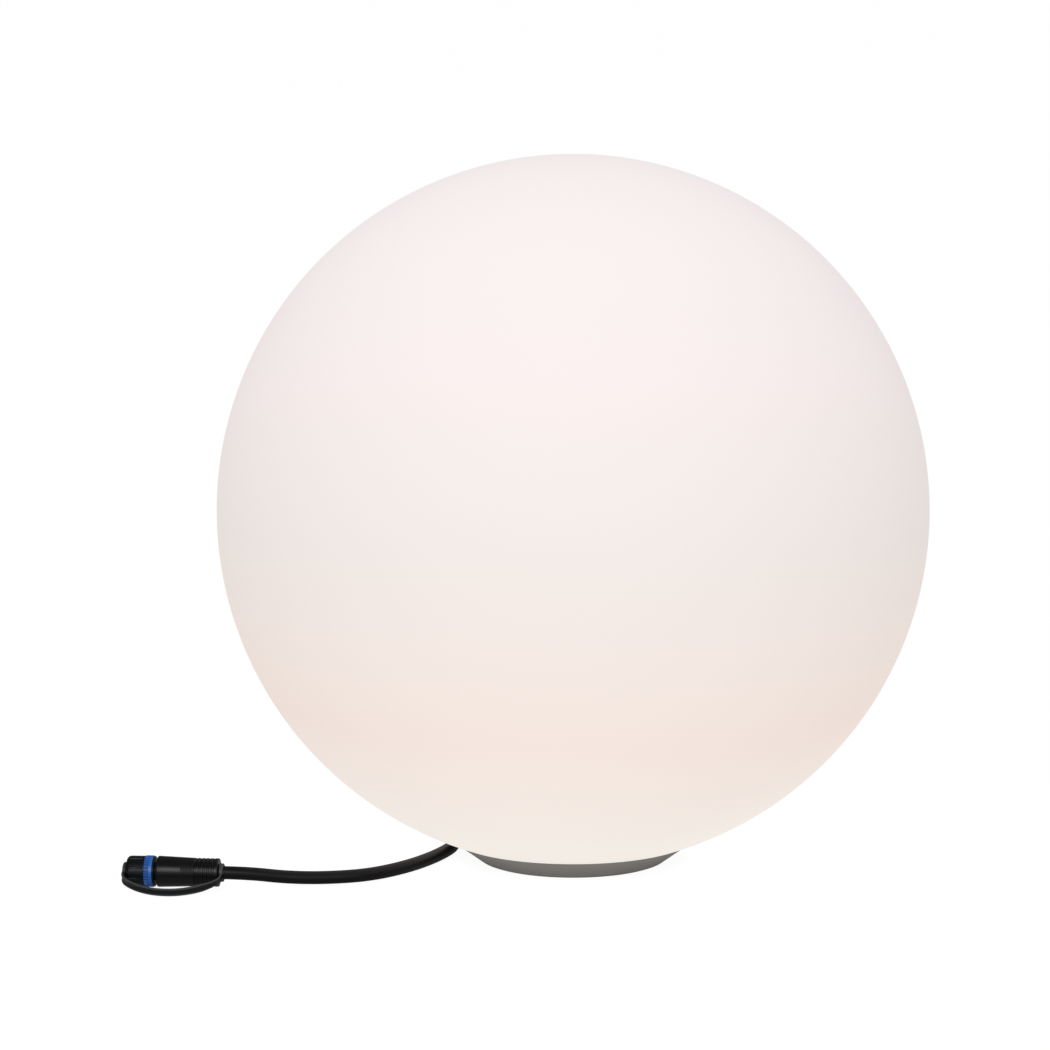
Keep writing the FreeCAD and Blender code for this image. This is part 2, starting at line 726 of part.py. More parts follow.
def make_gland():
    stub_ring = [circle("0", "0", "gland_stub_radius + gland_thread_fit")]
    washer = Piece("gland_washer", gland_frame())
    washer.raised([circle("0", "0", "gland_washer_radius")] + stub_ring, "0", "gland_washer_thick")

    body = Piece("gland_body", gland_frame())
    body.raised([circle("0", "0", "gland_stub_radius")], "gland_washer_thick - gland_stub_length",
                "gland_washer_thick")
    body.raised([hexagon("gland_across_flats")], "gland_washer_thick", HEX_END)
    body.raised([circle("0", "0", "gland_barrel_radius")], HEX_END, BARREL_END)
    body.raised([circle("0", "0", "gland_bore_radius")], "gland_washer_thick - gland_stub_length",
                BARREL_END, cut=True)
    seal_room = "cable_radius + cable_fit + gland_seal_wall + gland_thread_fit"
    body.raised([circle("0", "0", seal_room)], f"{BARREL_END} - gland_seal_length", BARREL_END, cut=True)

    seal = Piece("gland_seal", gland_frame())
    seal.raised([circle("0", "0", "cable_radius + cable_fit + gland_seal_wall"),
                 circle("0", "0", "cable_radius + cable_fit")],
                f"{BARREL_END} - gland_seal_length", BARREL_END)

    locknut = Piece("gland_locknut", gland_frame())
    locknut.raised([hexagon("locknut_across_flats")] + stub_ring,
                   "-channel_wall - locknut_thick", "-channel_wall")

    nut = Piece("gland_nut", gland_frame())
    nut.raised([hexagon("gland_across_flats")], GLAND_NUT_START, f"{GLAND_NUT_START} + gland_nut_hex")
    round_radius = "(gland_across_flats / 2)"
    nut.turned([
        ("0", f"{GLAND_NUT_START} + gland_nut_hex"),
        (round_radius, f"{GLAND_NUT_START} + gland_nut_hex"),
        (round_radius, f"{GLAND_NUT_END} - gland_nut_crown"),
        ("gland_bore_radius + gland_washer_thick", GLAND_NUT_END),
        ("0", GLAND_NUT_END),
    ])
    nut.raised([circle("0", "0", "gland_barrel_radius + gland_thread_fit")], GLAND_NUT_START,
               f"{BARREL_END} + gland_thread_fit", cut=True)
    nut.raised([circle("0", "0", "gland_bore_radius")], GLAND_NUT_START, GLAND_NUT_END, cut=True)


# The lead in two runs. Its tail is level in the gland and then drops to the notch and the boot,
# and the rest lies on the ground.
def make_lead():
    route = [
        (0.0, -number("cable_end"), number("gland_height")),
        (0.0, 9.6, number("gland_height")),
        (0.0, 26.6, number("cable_exit_height")),
        (0.0, number(BOOT_END), number("cable_exit_height")),
    ]
    routed_tubes("cable_tail", [route], number("cable_radius"))
    outside = [route[-1]] + CABLE_ROUTE
    routed_tubes("cable", [outside], number("cable_radius"))


def make_cable_boot():
    frame = Placement(Vector(0, 0, number("cable_exit_height")), Rotation(Vector(1, 0, 0), -90))
    taper_start = f"({BOOT_START} + boot_straight)"
    slope = f"((boot_radius - boot_tip_radius) / ({BOOT_END} - {taper_start}))"
    corners = [("cable_radius + cable_fit", BOOT_START), ("boot_radius", BOOT_START)]
    for groove in range(round(number("boot_groove_count"))):
        near = f"({taper_start} + {groove} * boot_groove_step)"
        far = f"({near} + boot_groove_width)"
        for place, depth in ((near, "0"), (near, "boot_groove_depth"),
                             (far, "boot_groove_depth"), (far, "0")):
            corners.append((f"boot_radius - ({place} - {taper_start}) * {slope} - {depth}", place))
    corners += [("boot_tip_radius", BOOT_END), ("cable_radius + cable_fit", BOOT_END)]
    Piece("cable_boot", frame).turned(corners)


# Tower: a tube on the pan that carries the lamp inside the globe.
def make_led_tower():
    piece = Piece("led_tower")
    piece.raised([circle("0", "0", "tower_radius"), circle("0", "0", TOWER_INNER)], RECESS_TOP, TOWER_TOP)
    for side in (-1, 1):
        for angle in ("lug_angle", "180 - lug_angle"):
            x, y = at_angle(LUG_PITCH, f"{side} * ({angle})")
            piece.raised([circle(x, y, "lug_radius")], RECESS_TOP, f"{RECESS_TOP} + lug_thick")
            piece.raised([circle(x, y, "tower_screw_radius + screw_play")], RECESS_TOP,
                         f"{RECESS_TOP} + lug_thick", cut=True)
    x, y = at_angle(SPREADER_BOSS_PITCH, 90)
    boss = piece.raised([circle(x, y, "spreader_boss_radius")],
                        f"{SPREADER_LOW} - spreader_boss_length", SPREADER_LOW)
    piece.repeated([boss], "spreader_screw_count")
    hole = piece.raised([circle(x, y, "spreader_screw_radius + screw_fit")],
                        f"{SPREADER_TOP} - spreader_screw_length - screw_tip_room", SPREADER_LOW, cut=True)
    piece.repeated([hole], "spreader_screw_count")


def make_tower_screws():
    low = f"{RECESS_TOP} + lug_thick - tower_screw_length"
    top = f"{RECESS_TOP} + lug_thick"
    piece = Piece("tower_screws")
    for side in (-1, 1):
        for angle in ("lug_angle", "180 - lug_angle"):
            x, y = at_angle(LUG_PITCH, f"{side} * ({angle})")
            piece.raised([circle(x, y, "tower_screw_radius")], low, top)
            piece.raised([circle(x, y, "tower_screw_head_radius")], top,
                         f"{top} + tower_screw_head_height")


# Lamp: heat spreader, pad, board and dome at the top of the tower.
def make_lamp():
    lead_hole = circle("0", "connector_y", "lead_hole_radius")
    lead_places = [f"{side} * led_lead_spacing / 2" for side in (-1, 1)]
    board_screws = [f"{side} * led_screw_pitch" for side in (-1, 1)]

    spreader = Piece("heat_spreader")
    spreader.raised([circle("0", "0", f"{TOWER_INNER} - spreader_fit"), lead_hole],
                    SPREADER_LOW, SPREADER_TOP)
    x, y = at_angle(SPREADER_BOSS_PITCH, 90)
    hole = spreader.raised([circle(x, y, "spreader_screw_radius + screw_play")],
                           SPREADER_LOW, SPREADER_TOP, cut=True)
    spreader.repeated([hole], "spreader_screw_count")
    spreader.raised([circle(x, "0", "led_screw_radius + screw_fit") for x in board_screws],
                    SPREADER_LOW, SPREADER_TOP, cut=True)

    pad = Piece("thermal_pad")
    pad.raised([circle("0", "0", "pad_radius"), lead_hole], SPREADER_TOP, LED_BOARD_LOW)
    pad.raised([circle(x, "0", "led_screw_radius + screw_play") for x in board_screws],
               SPREADER_TOP, LED_BOARD_LOW, cut=True)

    board = Piece("led_board")
    board.raised([circle("0", "0", "led_board_radius")], LED_BOARD_LOW, LED_BOARD_TOP)
    board.raised([circle(x, "0", "led_screw_radius + screw_play") for x in board_screws],
                 LED_BOARD_LOW, LED_BOARD_TOP, cut=True)
    board.raised([circle(x, "connector_y", "led_lead_radius + led_lead_play") for x in lead_places],
                 LED_BOARD_LOW, LED_BOARD_TOP, cut=True)

    turn = Rotation(Vector(0, 0, 1), number("led_turn"))
    chips = Piece("led_chips", Placement(Vector(), turn))
    chip = chips.raised([rectangle("led_pitch - led_side / 2", "led_pitch + led_side / 2",
                                   "-led_side / 2", "led_side / 2")],
                        LED_BOARD_TOP, f"{LED_BOARD_TOP} + led_thick")
    chips.repeated([chip], "led_count")

    dome_radius = "((tower_radius ^ 2 + cap_dome_height ^ 2) / 2 / cap_dome_height)"
    dome_low = f"({TOWER_TOP} + cap_rim)"
    dome_top = f"({dome_low} + cap_dome_height)"
    inner_radius = f"({dome_radius} - cap_dome_wall)"
    spigot = f"({TOWER_INNER} - spreader_fit)"
    drop = f"({dome_radius} - cap_dome_height)"
    cap = Piece("light_cap")
    cap.turned([
        (f"{spigot} - cap_spigot_wall", f"{TOWER_TOP} - cap_spigot_depth"),
        (spigot, f"{TOWER_TOP} - cap_spigot_depth"),
        (spigot, TOWER_TOP),
        ("tower_radius", TOWER_TOP),
        ("tower_radius", dome_low, dome_radius, 1),
        ("0", dome_top),
        ("0", f"{dome_top} - cap_dome_wall", inner_radius, -1),
        (f"sqrt({inner_radius} ^ 2 - {drop} ^ 2)", dome_low),
        (f"{spigot} - cap_spigot_wall", dome_low),
    ])


# Driver: a round board on three posts above the channel, with its parts.
def make_driver():
    places = [("-driver_post_x", "driver_post_y"), ("driver_post_x", "driver_post_y"),
              ("0", "-driver_front_post_y")]
    board = Piece("driver_board")
    board.raised([circle("0", "0", "driver_board_radius")], DRIVER_LOW, DRIVER_TOP)
    board.raised([circle(x, y, "driver_screw_radius + screw_play") for x, y in places],
                 DRIVER_LOW, DRIVER_TOP, cut=True)
    board.raised([rectangle("-driver_board_radius", "driver_board_radius",
                            "-driver_board_radius - pan_wall", "-driver_board_front")],
                 DRIVER_LOW, DRIVER_TOP, cut=True)

    screws = Piece("driver_screws")
    for x, y in places:
        screws.raised([circle(x, y, "driver_screw_radius")], f"{DRIVER_TOP} - driver_screw_length",
                      DRIVER_TOP)
        screws.raised([circle(x, y, "driver_screw_head_radius")], DRIVER_TOP,
                      f"{DRIVER_TOP} + driver_screw_head_height")

    frame = Placement(Vector(number("inductor_x"), 0, 0), Rotation())
    top = f"({DRIVER_TOP} + inductor_height)"
    Piece("driver_inductor", frame).turned([
        ("0", DRIVER_TOP),
        ("inductor_radius", DRIVER_TOP),
        ("inductor_radius", f"{DRIVER_TOP} + inductor_flange"),
        ("inductor_waist", f"{DRIVER_TOP} + inductor_flange"),
        ("inductor_waist", f"{top} - inductor_flange"),
        ("inductor_radius", f"{top} - inductor_flange"),
        ("inductor_radius", top),
        ("0", top),
    ])

    cans = Piece("driver_capacitors")
    cans.raised([circle("-capacitor_x", f"{side} * capacitor_spacing / 2", "capacitor_radius")
                 for side in (-1, 1)], DRIVER_TOP, f"{DRIVER_TOP} + capacitor_height")

    chips = Piece("driver_chips")
    for place in (-1, 0, 1):
        x = f"({place} * chip_spacing)"
        chips.raised([rectangle(f"{x} - chip_width / 2", f"{x} + chip_width / 2",
                                "-chip_length / 2", "chip_length / 2")],
                     DRIVER_TOP, f"{DRIVER_TOP} + chip_height")


def make_terminals():
    terminal_front = "(-terminal_y - terminal_depth / 2)"
    entry = "(core_radius + core_play)"
    terminal = Piece("input_terminal")
    terminal.raised([rectangle("-terminal_width / 2", "terminal_width / 2", terminal_front,
                               "-terminal_y + terminal_depth / 2")],
                    DRIVER_TOP, f"{DRIVER_TOP} + terminal_height")
    sketch = terminal.sketch("XZ_Plane", f"-{terminal_front}")
    for side in (-1, 1):
        draw_circle(sketch, {"centre": (f"{side} * core_spacing / 2", CORE_TOP), "radius": entry})
    entries = terminal.body.newObject("PartDesign::Pocket", "Entries")
    entries.Profile = sketch
    entries.setExpression("Length", bound("core_seated + core_play"))

    connector = Piece("output_connector")
    connector.raised([rectangle("-connector_width / 2", "connector_width / 2",
                                "connector_y - connector_depth / 2", "connector_y + connector_depth / 2")],
                     DRIVER_TOP, CONNECTOR_TOP)
    connector.raised([circle(f"{side} * led_lead_spacing / 2", "connector_y",
                             "led_lead_radius + led_lead_play") for side in (-1, 1)],
                     f"{CONNECTOR_TOP} - core_seated", CONNECTOR_TOP, cut=True)


def make_wires():
    rise = -number("cable_end + core_reach")
    seated = -number("terminal_y + terminal_depth / 2 - core_seated")
    routes = []
    for side in (-1, 1):
        x = side * number("core_spacing / 2")
        routes.append([
            (x, -number("cable_end"), number("gland_height")),
            (x, rise, number("gland_height")),
            (x, rise, number(CORE_TOP)),
            (x, seated, number(CORE_TOP)),
        ])
    routed_tubes("supply_cores", routes, number("core_radius"))

    leads = Piece("led_leads")
    for side in (-1, 1):
        x = f"{side} * led_lead_spacing / 2"
        leads.raised([circle(x, "connector_y", "led_lead_radius")],
                     f"{CONNECTOR_TOP} - core_seated", LED_BOARD_TOP)
        leads.raised([circle(x, "connector_y", "solder_radius")], LED_BOARD_TOP,
                     f"{LED_BOARD_TOP} + solder_height")


# Plug. Its local Z runs along its axis from the lead to the cap, its local X points to the
# front and its local Y points up, and it continues the last run of the lead.
def plug_frame(tilt=0.0):
    end = Vector(*CABLE_ROUTE[-1])
    along = (end - Vector(*CABLE_ROUTE[-2]))
    along.z = 0
    along.normalize()
    up = Vector(0, 0, 1)
    forward = up.cross(along)
    lie = Rotation(forward, up, along, "ZYX")
    return Placement(end, lie.multiply(Rotation(Vector(0, 0, 1), tilt)))


def make_plug():
    slope = "(plug_front_radius - plug_rear_radius) / (plug_body_length - rib_start - rib_count * rib_step)"
    socket_low = "plug_body_length - insert_sunk"
    corners = [("0", "0"), ("plug_rear_radius - plug_edge", "0"), ("plug_rear_radius", "plug_edge")]
    for rib in range(round(number("rib_count"))):
        near = f"(rib_start + {rib} * rib_step)"
        far = f"({near} + rib_gap)"
        corners += [
            ("plug_rear_radius", near),
            ("plug_rear_radius - rib_depth", near),
            ("plug_rear_radius - rib_depth", far),
            ("plug_rear_radius", far),
        ]
    corners += [
        ("plug_front_radius", "plug_body_length - plug_edge"),
        ("plug_front_radius - plug_edge", "plug_body_length"),
        ("insert_radius + insert_fit", "plug_body_length"),
        ("insert_radius + insert_fit", socket_low),
        ("0", socket_low),
    ]
    Piece("plug_body", plug_frame()).turned(corners)

    bore_low = f"({SLEEVE_END} - sleeve_bore_depth)"
    pin_low = f"({bore_low} - pin_rooted)"
    insert = Piece("plug_insert", plug_frame())
    insert.turned([
        ("0", socket_low),
        ("insert_radius", socket_low),
        ("insert_radius", CLIP_START),
        ("clip_seat_radius", CLIP_START),
        ("clip_seat_radius", f"{CLIP_START} + clip_thick"),
        ("insert_radius", f"{CLIP_START} + clip_thick"),
        ("insert_radius", NECK_END),
        ("sleeve_radius", NECK_END),
        ("sleeve_radius", f"{SEAL_MIDDLE} - seal_tube_radius"),
        ("seal_seat_radius", f"{SEAL_MIDDLE} - seal_tube_radius"),
        ("seal_seat_radius", f"{SEAL_MIDDLE} + seal_tube_radius"),
        ("sleeve_radius", f"{SEAL_MIDDLE} + seal_tube_radius"),
        ("sleeve_radius", SLEEVE_END),
        ("sleeve_bore_radius", SLEEVE_END),
        ("sleeve_bore_radius", bore_low),
        ("0", bore_low),
    ])
    pins = [f"{side} * pin_spacing / 2" for side in (-1, 1)]
    insert.raised([circle(x, "0", "pin_radius + insert_fit") for x in pins], pin_low, bore_low, cut=True)
    contacts = Piece("plug_pins", plug_frame())
    contacts.raised([circle(x, "0", "pin_radius") for x in pins], pin_low, f"{bore_low} + pin_length")

    clip = Piece("nut_clip", plug_frame())
    clip.raised([circle("0", "0", "clip_radius"), circle("0", "0", "clip_seat_radius + insert_fit")],
                CLIP_START, f"{CLIP_START} + clip_thick")
    clip.raised([rectangle("-clip_mouth / 2", "clip_mouth / 2", "-clip_radius - 1", "0")],
                CLIP_START, f"{CLIP_START} + clip_thick", cut=True)

    seal = doc.addObject("Part::Torus", "plug_seal")
    seal.Label = "plug_seal"
    seal.setExpression("Radius1", bound("seal_seat_radius + seal_tube_radius"))
    seal.setExpression("Radius2", bound("seal_tube_radius"))
    lift = Placement(Vector(0, 0, number(SEAL_MIDDLE)), Rotation())
    seal.Placement = plug_frame().multiply(lift)
    sub_parts.append(seal)


def make_coupling_nut():
    band_low = f"({NUT_START} + band_start)"
    band_high = f"({band_low} + band_length)"
    nut = Piece("coupling_nut", plug_frame())
    nut.turned([
        ("insert_radius + nut_running_fit", NUT_START),
        ("nut_radius - nut_rear_bevel", NUT_START),
        ("nut_radius", f"{NUT_START} + nut_rear_bevel"),
        ("nut_radius", band_low),
        ("band_seat_radius", band_low),
        ("band_seat_radius", band_high),
        ("nut_radius", band_high),
        ("nut_radius", f"{NUT_END} - nut_front_bevel"),
        ("nut_radius - nut_front_step", NUT_END),
        ("nut_bore_radius", NUT_END),
        ("nut_bore_radius", NUT_WALL_END),
        ("insert_radius + nut_running_fit", NUT_WALL_END),
    ])
    outline = rectangle("(nut_radius - nut_groove_depth)", "(nut_radius + nut_groove_depth)",
                        "(-nut_groove_width / 2)", "(nut_groove_width / 2)")
    groove = nut.raised([turned_outline(outline["corners"], "nut_groove_turn")],
                        f"{band_high} + nut_groove_end", f"{NUT_END} - nut_front_bevel / 2", cut=True)
    nut.repeated([groove], "nut_groove_count")

    band = Piece("colour_ring", plug_frame())
    band.raised([circle("0", "0", "band_radius"), circle("0", "0", "band_seat_radius + band_fit")],
                f"{band_low} + band_fit", f"{band_high} - band_fit")
    tooth_gap = band.raised([rectangle("band_radius - band_tooth_depth", "band_radius + band_tooth_depth",
                                       "-band_tooth_gap / 2", "band_tooth_gap / 2")],
                            f"{band_high} - band_fit - band_tooth_length", f"{band_high} - band_fit",
                            cut=True)
    band.repeated([tooth_gap], "band_tooth_count")


# Sealing cap: a cup over the sleeve of the plug, a stem and a round head, tied to the lead by
# a flat strap that stands on edge and lies forward on the ground.
def make_sealing_cap():
    bore = "sleeve_radius + cup_fit"
    bore_end = f"{SLEEVE_END} + cup_end_room"
    Piece("sealing_cap", plug_frame()).turned([
        (bore, CUP_START),
        ("cup_radius", CUP_START),
        ("cup_radius", f"{CUP_END} - cup_bevel"),
        ("cup_radius - cup_bevel", CUP_END),
        ("stem_radius", CUP_END),
        ("stem_radius", HEAD_START),
        ("head_radius", HEAD_START),
        ("head_radius", f"{HEAD_START} + head_thick - head_bevel"),
        ("head_radius - head_bevel", f"{HEAD_START} + head_thick"),
        ("0", f"{HEAD_START} + head_thick"),
        ("0", bore_end),
        (bore, bore_end),
    ])
    Piece("cap_collar", plug_frame()).turned([
        ("cable_radius + cable_fit", "-collar_gap - collar_length"),
        ("cable_radius + collar_wall", "-collar_gap - collar_length"),
        ("cable_radius + collar_wall", "-collar_gap"),
        ("cable_radius + cable_fit", "-collar_gap"),
    ])


def strap_tilt():
    """How far the strap leans down from level, so that its far edge just clears the ground."""
    reach = number("strap_reach + strap_thick / 2")
    half_width = number("strap_width / 2")
    rise = CABLE_ROUTE[-1][2] - number("strap_ground_gap")
    return math.asin(rise / math.hypot(reach, half_width)) - math.atan2(half_width, reach)


def make_cap_strap():
    rear = "(-collar_gap - collar_length / 2)"
    front = f"({HEAD_START} + head_thick / 2)"
    middle = f"(({rear} + {front}) / 2)"
    half_span = f"(({front} - {rear}) / 2)"
    root = "(cable_radius + collar_wall + strap_end_fit)"
    leg = f"({root} + strap_leg)"
    depth = f"(strap_reach - {leg})"
    # Tangent of half the half angle of the wide arc, which joins the two corner arcs.
    share = f"(({depth} - strap_corner) / ({half_span} - strap_corner))"
    sine = f"(2 * {share} / (1 + {share} ^ 2))"
    cosine = f"((1 - {share} ^ 2) / (1 + {share} ^ 2))"
    wide = f"(strap_corner + ({half_span} - strap_corner) / {sine})"
    tip = "(head_radius + strap_end_fit)"

    def corners(offset, turn):
        """One face of the strap, this far outside its middle line."""
        join_x = f"strap_reach - {wide} + ({wide} + {offset}) * {cosine}"
        join_drop = f"({wide} + {offset}) * {sine}"
        corner_radius = f"(strap_corner + {offset})"
        return [
            (root, f"{rear} - {offset}"),
            (leg, f"{rear} - {offset}", corner_radius, turn),
            (join_x, f"{middle} - {join_drop}", f"({wide} + {offset})", turn),
            (join_x, f"{middle} + {join_drop}", corner_radius, turn),
            (leg, f"{front} + {offset}"),
            (tip, f"{front} + {offset}"),
        ]

    outer = corners("strap_thick / 2", 1)
    inner = corners("(-strap_thick / 2)", 1)
    inner = reversed_outline(inner)
    lean = plug_frame(-math.degrees(strap_tilt()))
    piece = Piece("cap_strap", lean)
    sketch = piece.sketch("XZ_Plane", "0")
    draw_outline(sketch, outer + inner)
    band = piece.body.newObject("PartDesign::Pad", "Band")
    band.Profile = sketch
    band.Midplane = True
    band.setExpression("Length", bound("strap_width"))


def reversed_outline(corners):
    """The same line walked the other way, with each arc moved to the corner it now leaves."""
    places = [corner[:2] for corner in corners][::-1]
    arcs = [corner[2:] for corner in corners[:-1]][::-1]
    turned = [place + ((arc[0], -arc[1]) if arc else ()) for place, arc in zip(places, arcs)]
    return turned + [places[-1]]


make_globe_shell()
make_foot_ring()
make_rubber_foot()
make_screws("globe_screws", "globe_screw_count", at_angle(GLOBE_SCREW_PITCH, 45), SCREW_SEAT,
            "globe_screw_radius", "globe_screw_length", "globe_screw_head_radius",
            "globe_screw_head_height", False, "globe_screw_socket")
make_base_pan()
make_globe_gasket()
make_gland()
make_lead()
make_cable_boot()
make_led_tower()
make_tower_screws()
make_screws("spreader_screws", "spreader_screw_count", at_angle(SPREADER_BOSS_PITCH, 90),
            f"{SPREADER_TOP} - spreader_screw_length", "spreader_screw_radius",
            "spreader_screw_length", "spreader_screw_head_radius", "spreader_screw_head_height",
            True, "small_screw_socket")
make_screws("led_board_screws", "led_screw_count", ("led_screw_pitch", "0"),
            f"{LED_BOARD_TOP} - led_screw_length", "led_screw_radius", "led_screw_length",
            "led_screw_head_radius", "led_screw_head_height", True, "small_screw_socket")
make_lamp()
make_driver()
make_terminals()
make_wires()
make_plug()
make_coupling_nut()
make_sealing_cap()
make_cap_strap()
doc.recompute()

for item in doc.Objects:
    if {"Invalid", "Error"} & set(item.State):
        raise ValueError(f"{item.Name} of {item.Label} did not build: {item.State}")
    if item.TypeId in ("PartDesign::Pocket", "PartDesign::Groove"):
        if item.Shape.Volume > item.BaseFeature.Shape.Volume - 1e-6:
            raise ValueError(f"{item.Name} cuts nothing away")

os.makedirs("parts", exist_ok=True)
for piece in sub_parts:
    if piece.Shape.isNull() or not piece.Shape.isValid():
        raise ValueError(f"{piece.Label} has no valid shape")
    piece.Shape.exportStep(f"parts/{piece.Label}.step")
    print(f"{piece.Label}: {len(piece.Shape.Solids)} solid(s), {piece.Shape.Volume:.0f} mm3")
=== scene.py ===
# %% [markdown]
# # A garden globe light
# An opal ball, 400 mm across and lit from inside, stands on a low grey foot. A black rubber
# lead comes out behind the foot, runs forward past its left side and ends in a round plug with
# a screw ring, a blue band and a cap on a strap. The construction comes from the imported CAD
# model, which is loaded here as a fixed frame: everything that is made below has to fit it.

# %% Load the frame
import json
import math

import bmesh
import bpy
from mathutils import Matrix, Vector


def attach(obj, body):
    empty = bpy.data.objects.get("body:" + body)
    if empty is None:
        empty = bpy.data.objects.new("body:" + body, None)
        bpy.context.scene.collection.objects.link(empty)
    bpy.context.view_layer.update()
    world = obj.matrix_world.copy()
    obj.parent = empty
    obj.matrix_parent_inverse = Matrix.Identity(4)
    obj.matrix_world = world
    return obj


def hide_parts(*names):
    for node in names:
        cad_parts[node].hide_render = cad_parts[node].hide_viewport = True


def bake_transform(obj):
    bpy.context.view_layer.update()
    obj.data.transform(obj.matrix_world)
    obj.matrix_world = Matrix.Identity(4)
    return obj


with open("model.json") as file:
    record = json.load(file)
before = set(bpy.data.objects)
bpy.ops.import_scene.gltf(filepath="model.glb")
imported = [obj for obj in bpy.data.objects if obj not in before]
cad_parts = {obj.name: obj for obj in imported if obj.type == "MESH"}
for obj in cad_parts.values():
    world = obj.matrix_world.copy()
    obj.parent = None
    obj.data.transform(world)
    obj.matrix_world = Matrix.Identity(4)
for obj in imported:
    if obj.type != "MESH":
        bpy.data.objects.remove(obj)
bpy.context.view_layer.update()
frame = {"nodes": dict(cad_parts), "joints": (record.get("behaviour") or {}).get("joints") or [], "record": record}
MM = 0.001
NODE_SLOT = {part["node"]: part["material_slot"] for part in frame["record"]["subparts"]}

# %% [markdown]
# ## Camera
# The picture was taken from 2.2 m away, a little above the middle of the ball. A photographer
# sets a camera by aiming it, so the aim is written the same way: first the height above the
# level, then a small turn to the left and a small nod, which put the ball where the picture
# has it. A long lens keeps the ball round.

# %% Camera
BALL_SIZE = 400 * MM
BALL_CENTRE = Vector((0, 0, 199.585 * MM))
CAMERA_DISTANCE = 2.2
CAMERA_RISE = math.radians(7.88)
CAMERA_TURN = math.radians(0.701)
CAMERA_NOD = math.radians(-0.214)
SENSOR = 36.0
FOCAL_PIXELS, IMAGE_PIXELS = 3905, 1050

lens = bpy.data.cameras.new("camera")
lens.sensor_width = SENSOR
lens.lens = FOCAL_PIXELS / IMAGE_PIXELS * SENSOR
camera = bpy.data.objects.new("camera", lens)
bpy.context.collection.objects.link(camera)
back = Vector((0, -math.cos(CAMERA_RISE), math.sin(CAMERA_RISE)))
camera.matrix_world = (
    Matrix.Translation(BALL_CENTRE + back * CAMERA_DISTANCE)
    @ Matrix.Rotation(math.pi / 2 - CAMERA_RISE, 4, "X")
    @ Matrix.Rotation(CAMERA_TURN, 4, "Y")
    @ Matrix.Rotation(CAMERA_NOD, 4, "X")
)
bpy.context.scene.camera = camera
bpy.context.scene.view_settings.view_transform = "Standard"
print("camera at, mm:", [round(c / MM) for c in camera.matrix_world.translation])

# %% [markdown]
# ## Shader maths as Python
# A material's pattern is arithmetic on numbers that vary over the surface. Wired by hand that
# takes a page of Math nodes, so one small class wraps a socket and turns each Python operator
# into the node that does it. Any other node comes from `node`.

# %% Shader expressions
class Value:
    """A number that varies over a surface: the output socket of a node."""

    def __init__(self, tree, socket):
        self.tree, self.socket = tree, socket

    def math(self, operation, *operands, clamp=False):
        made = self.tree.nodes.new("ShaderNodeMath")
        made.operation, made.use_clamp = operation, clamp
        for slot, operand in zip(made.inputs, operands):
            if isinstance(operand, Value):
                self.tree.links.new(operand.socket, slot)
            else:
                slot.default_value = operand
        return Value(self.tree, made.outputs[0])

    def __add__(self, other): return self.math("ADD", self, other)
    def __radd__(self, other): return self.math("ADD", other, self)
    def __sub__(self, other): return self.math("SUBTRACT", self, other)
    def __rsub__(self, other): return self.math("SUBTRACT", other, self)
    def __mul__(self, other): return self.math("MULTIPLY", self, other)
    def __rmul__(self, other): return self.math("MULTIPLY", other, self)
    def __truediv__(self, other): return self.math("DIVIDE", self, other)

    def clamped(self):
        return self.math("ADD", self, 0.0, clamp=True)

    def root(self):
        return self.math("SQRT", self)


# %% [markdown]
# ## A finish and its patterns
# Each surface is a Principled shader that a pattern or two feed. Wiring it again for every
# material would repeat the same lines, so one class makes the material and holds the patterns
# that several pieces share. They read Object coordinates, so that a grain keeps its real size
# on every piece and stays on it when it moves.

# %% Finish
def set_stops(ramp, stops):
    """Give a colour ramp its (position, colour) stops, from low to high."""
    ramp.elements.remove(ramp.elements[-1])
    ramp.elements[0].position = stops[0][0]
    ramp.elements[0].color = (*stops[0][1], 1)
    for position, color in stops[1:]:
        ramp.elements.new(position).color = (*color, 1)


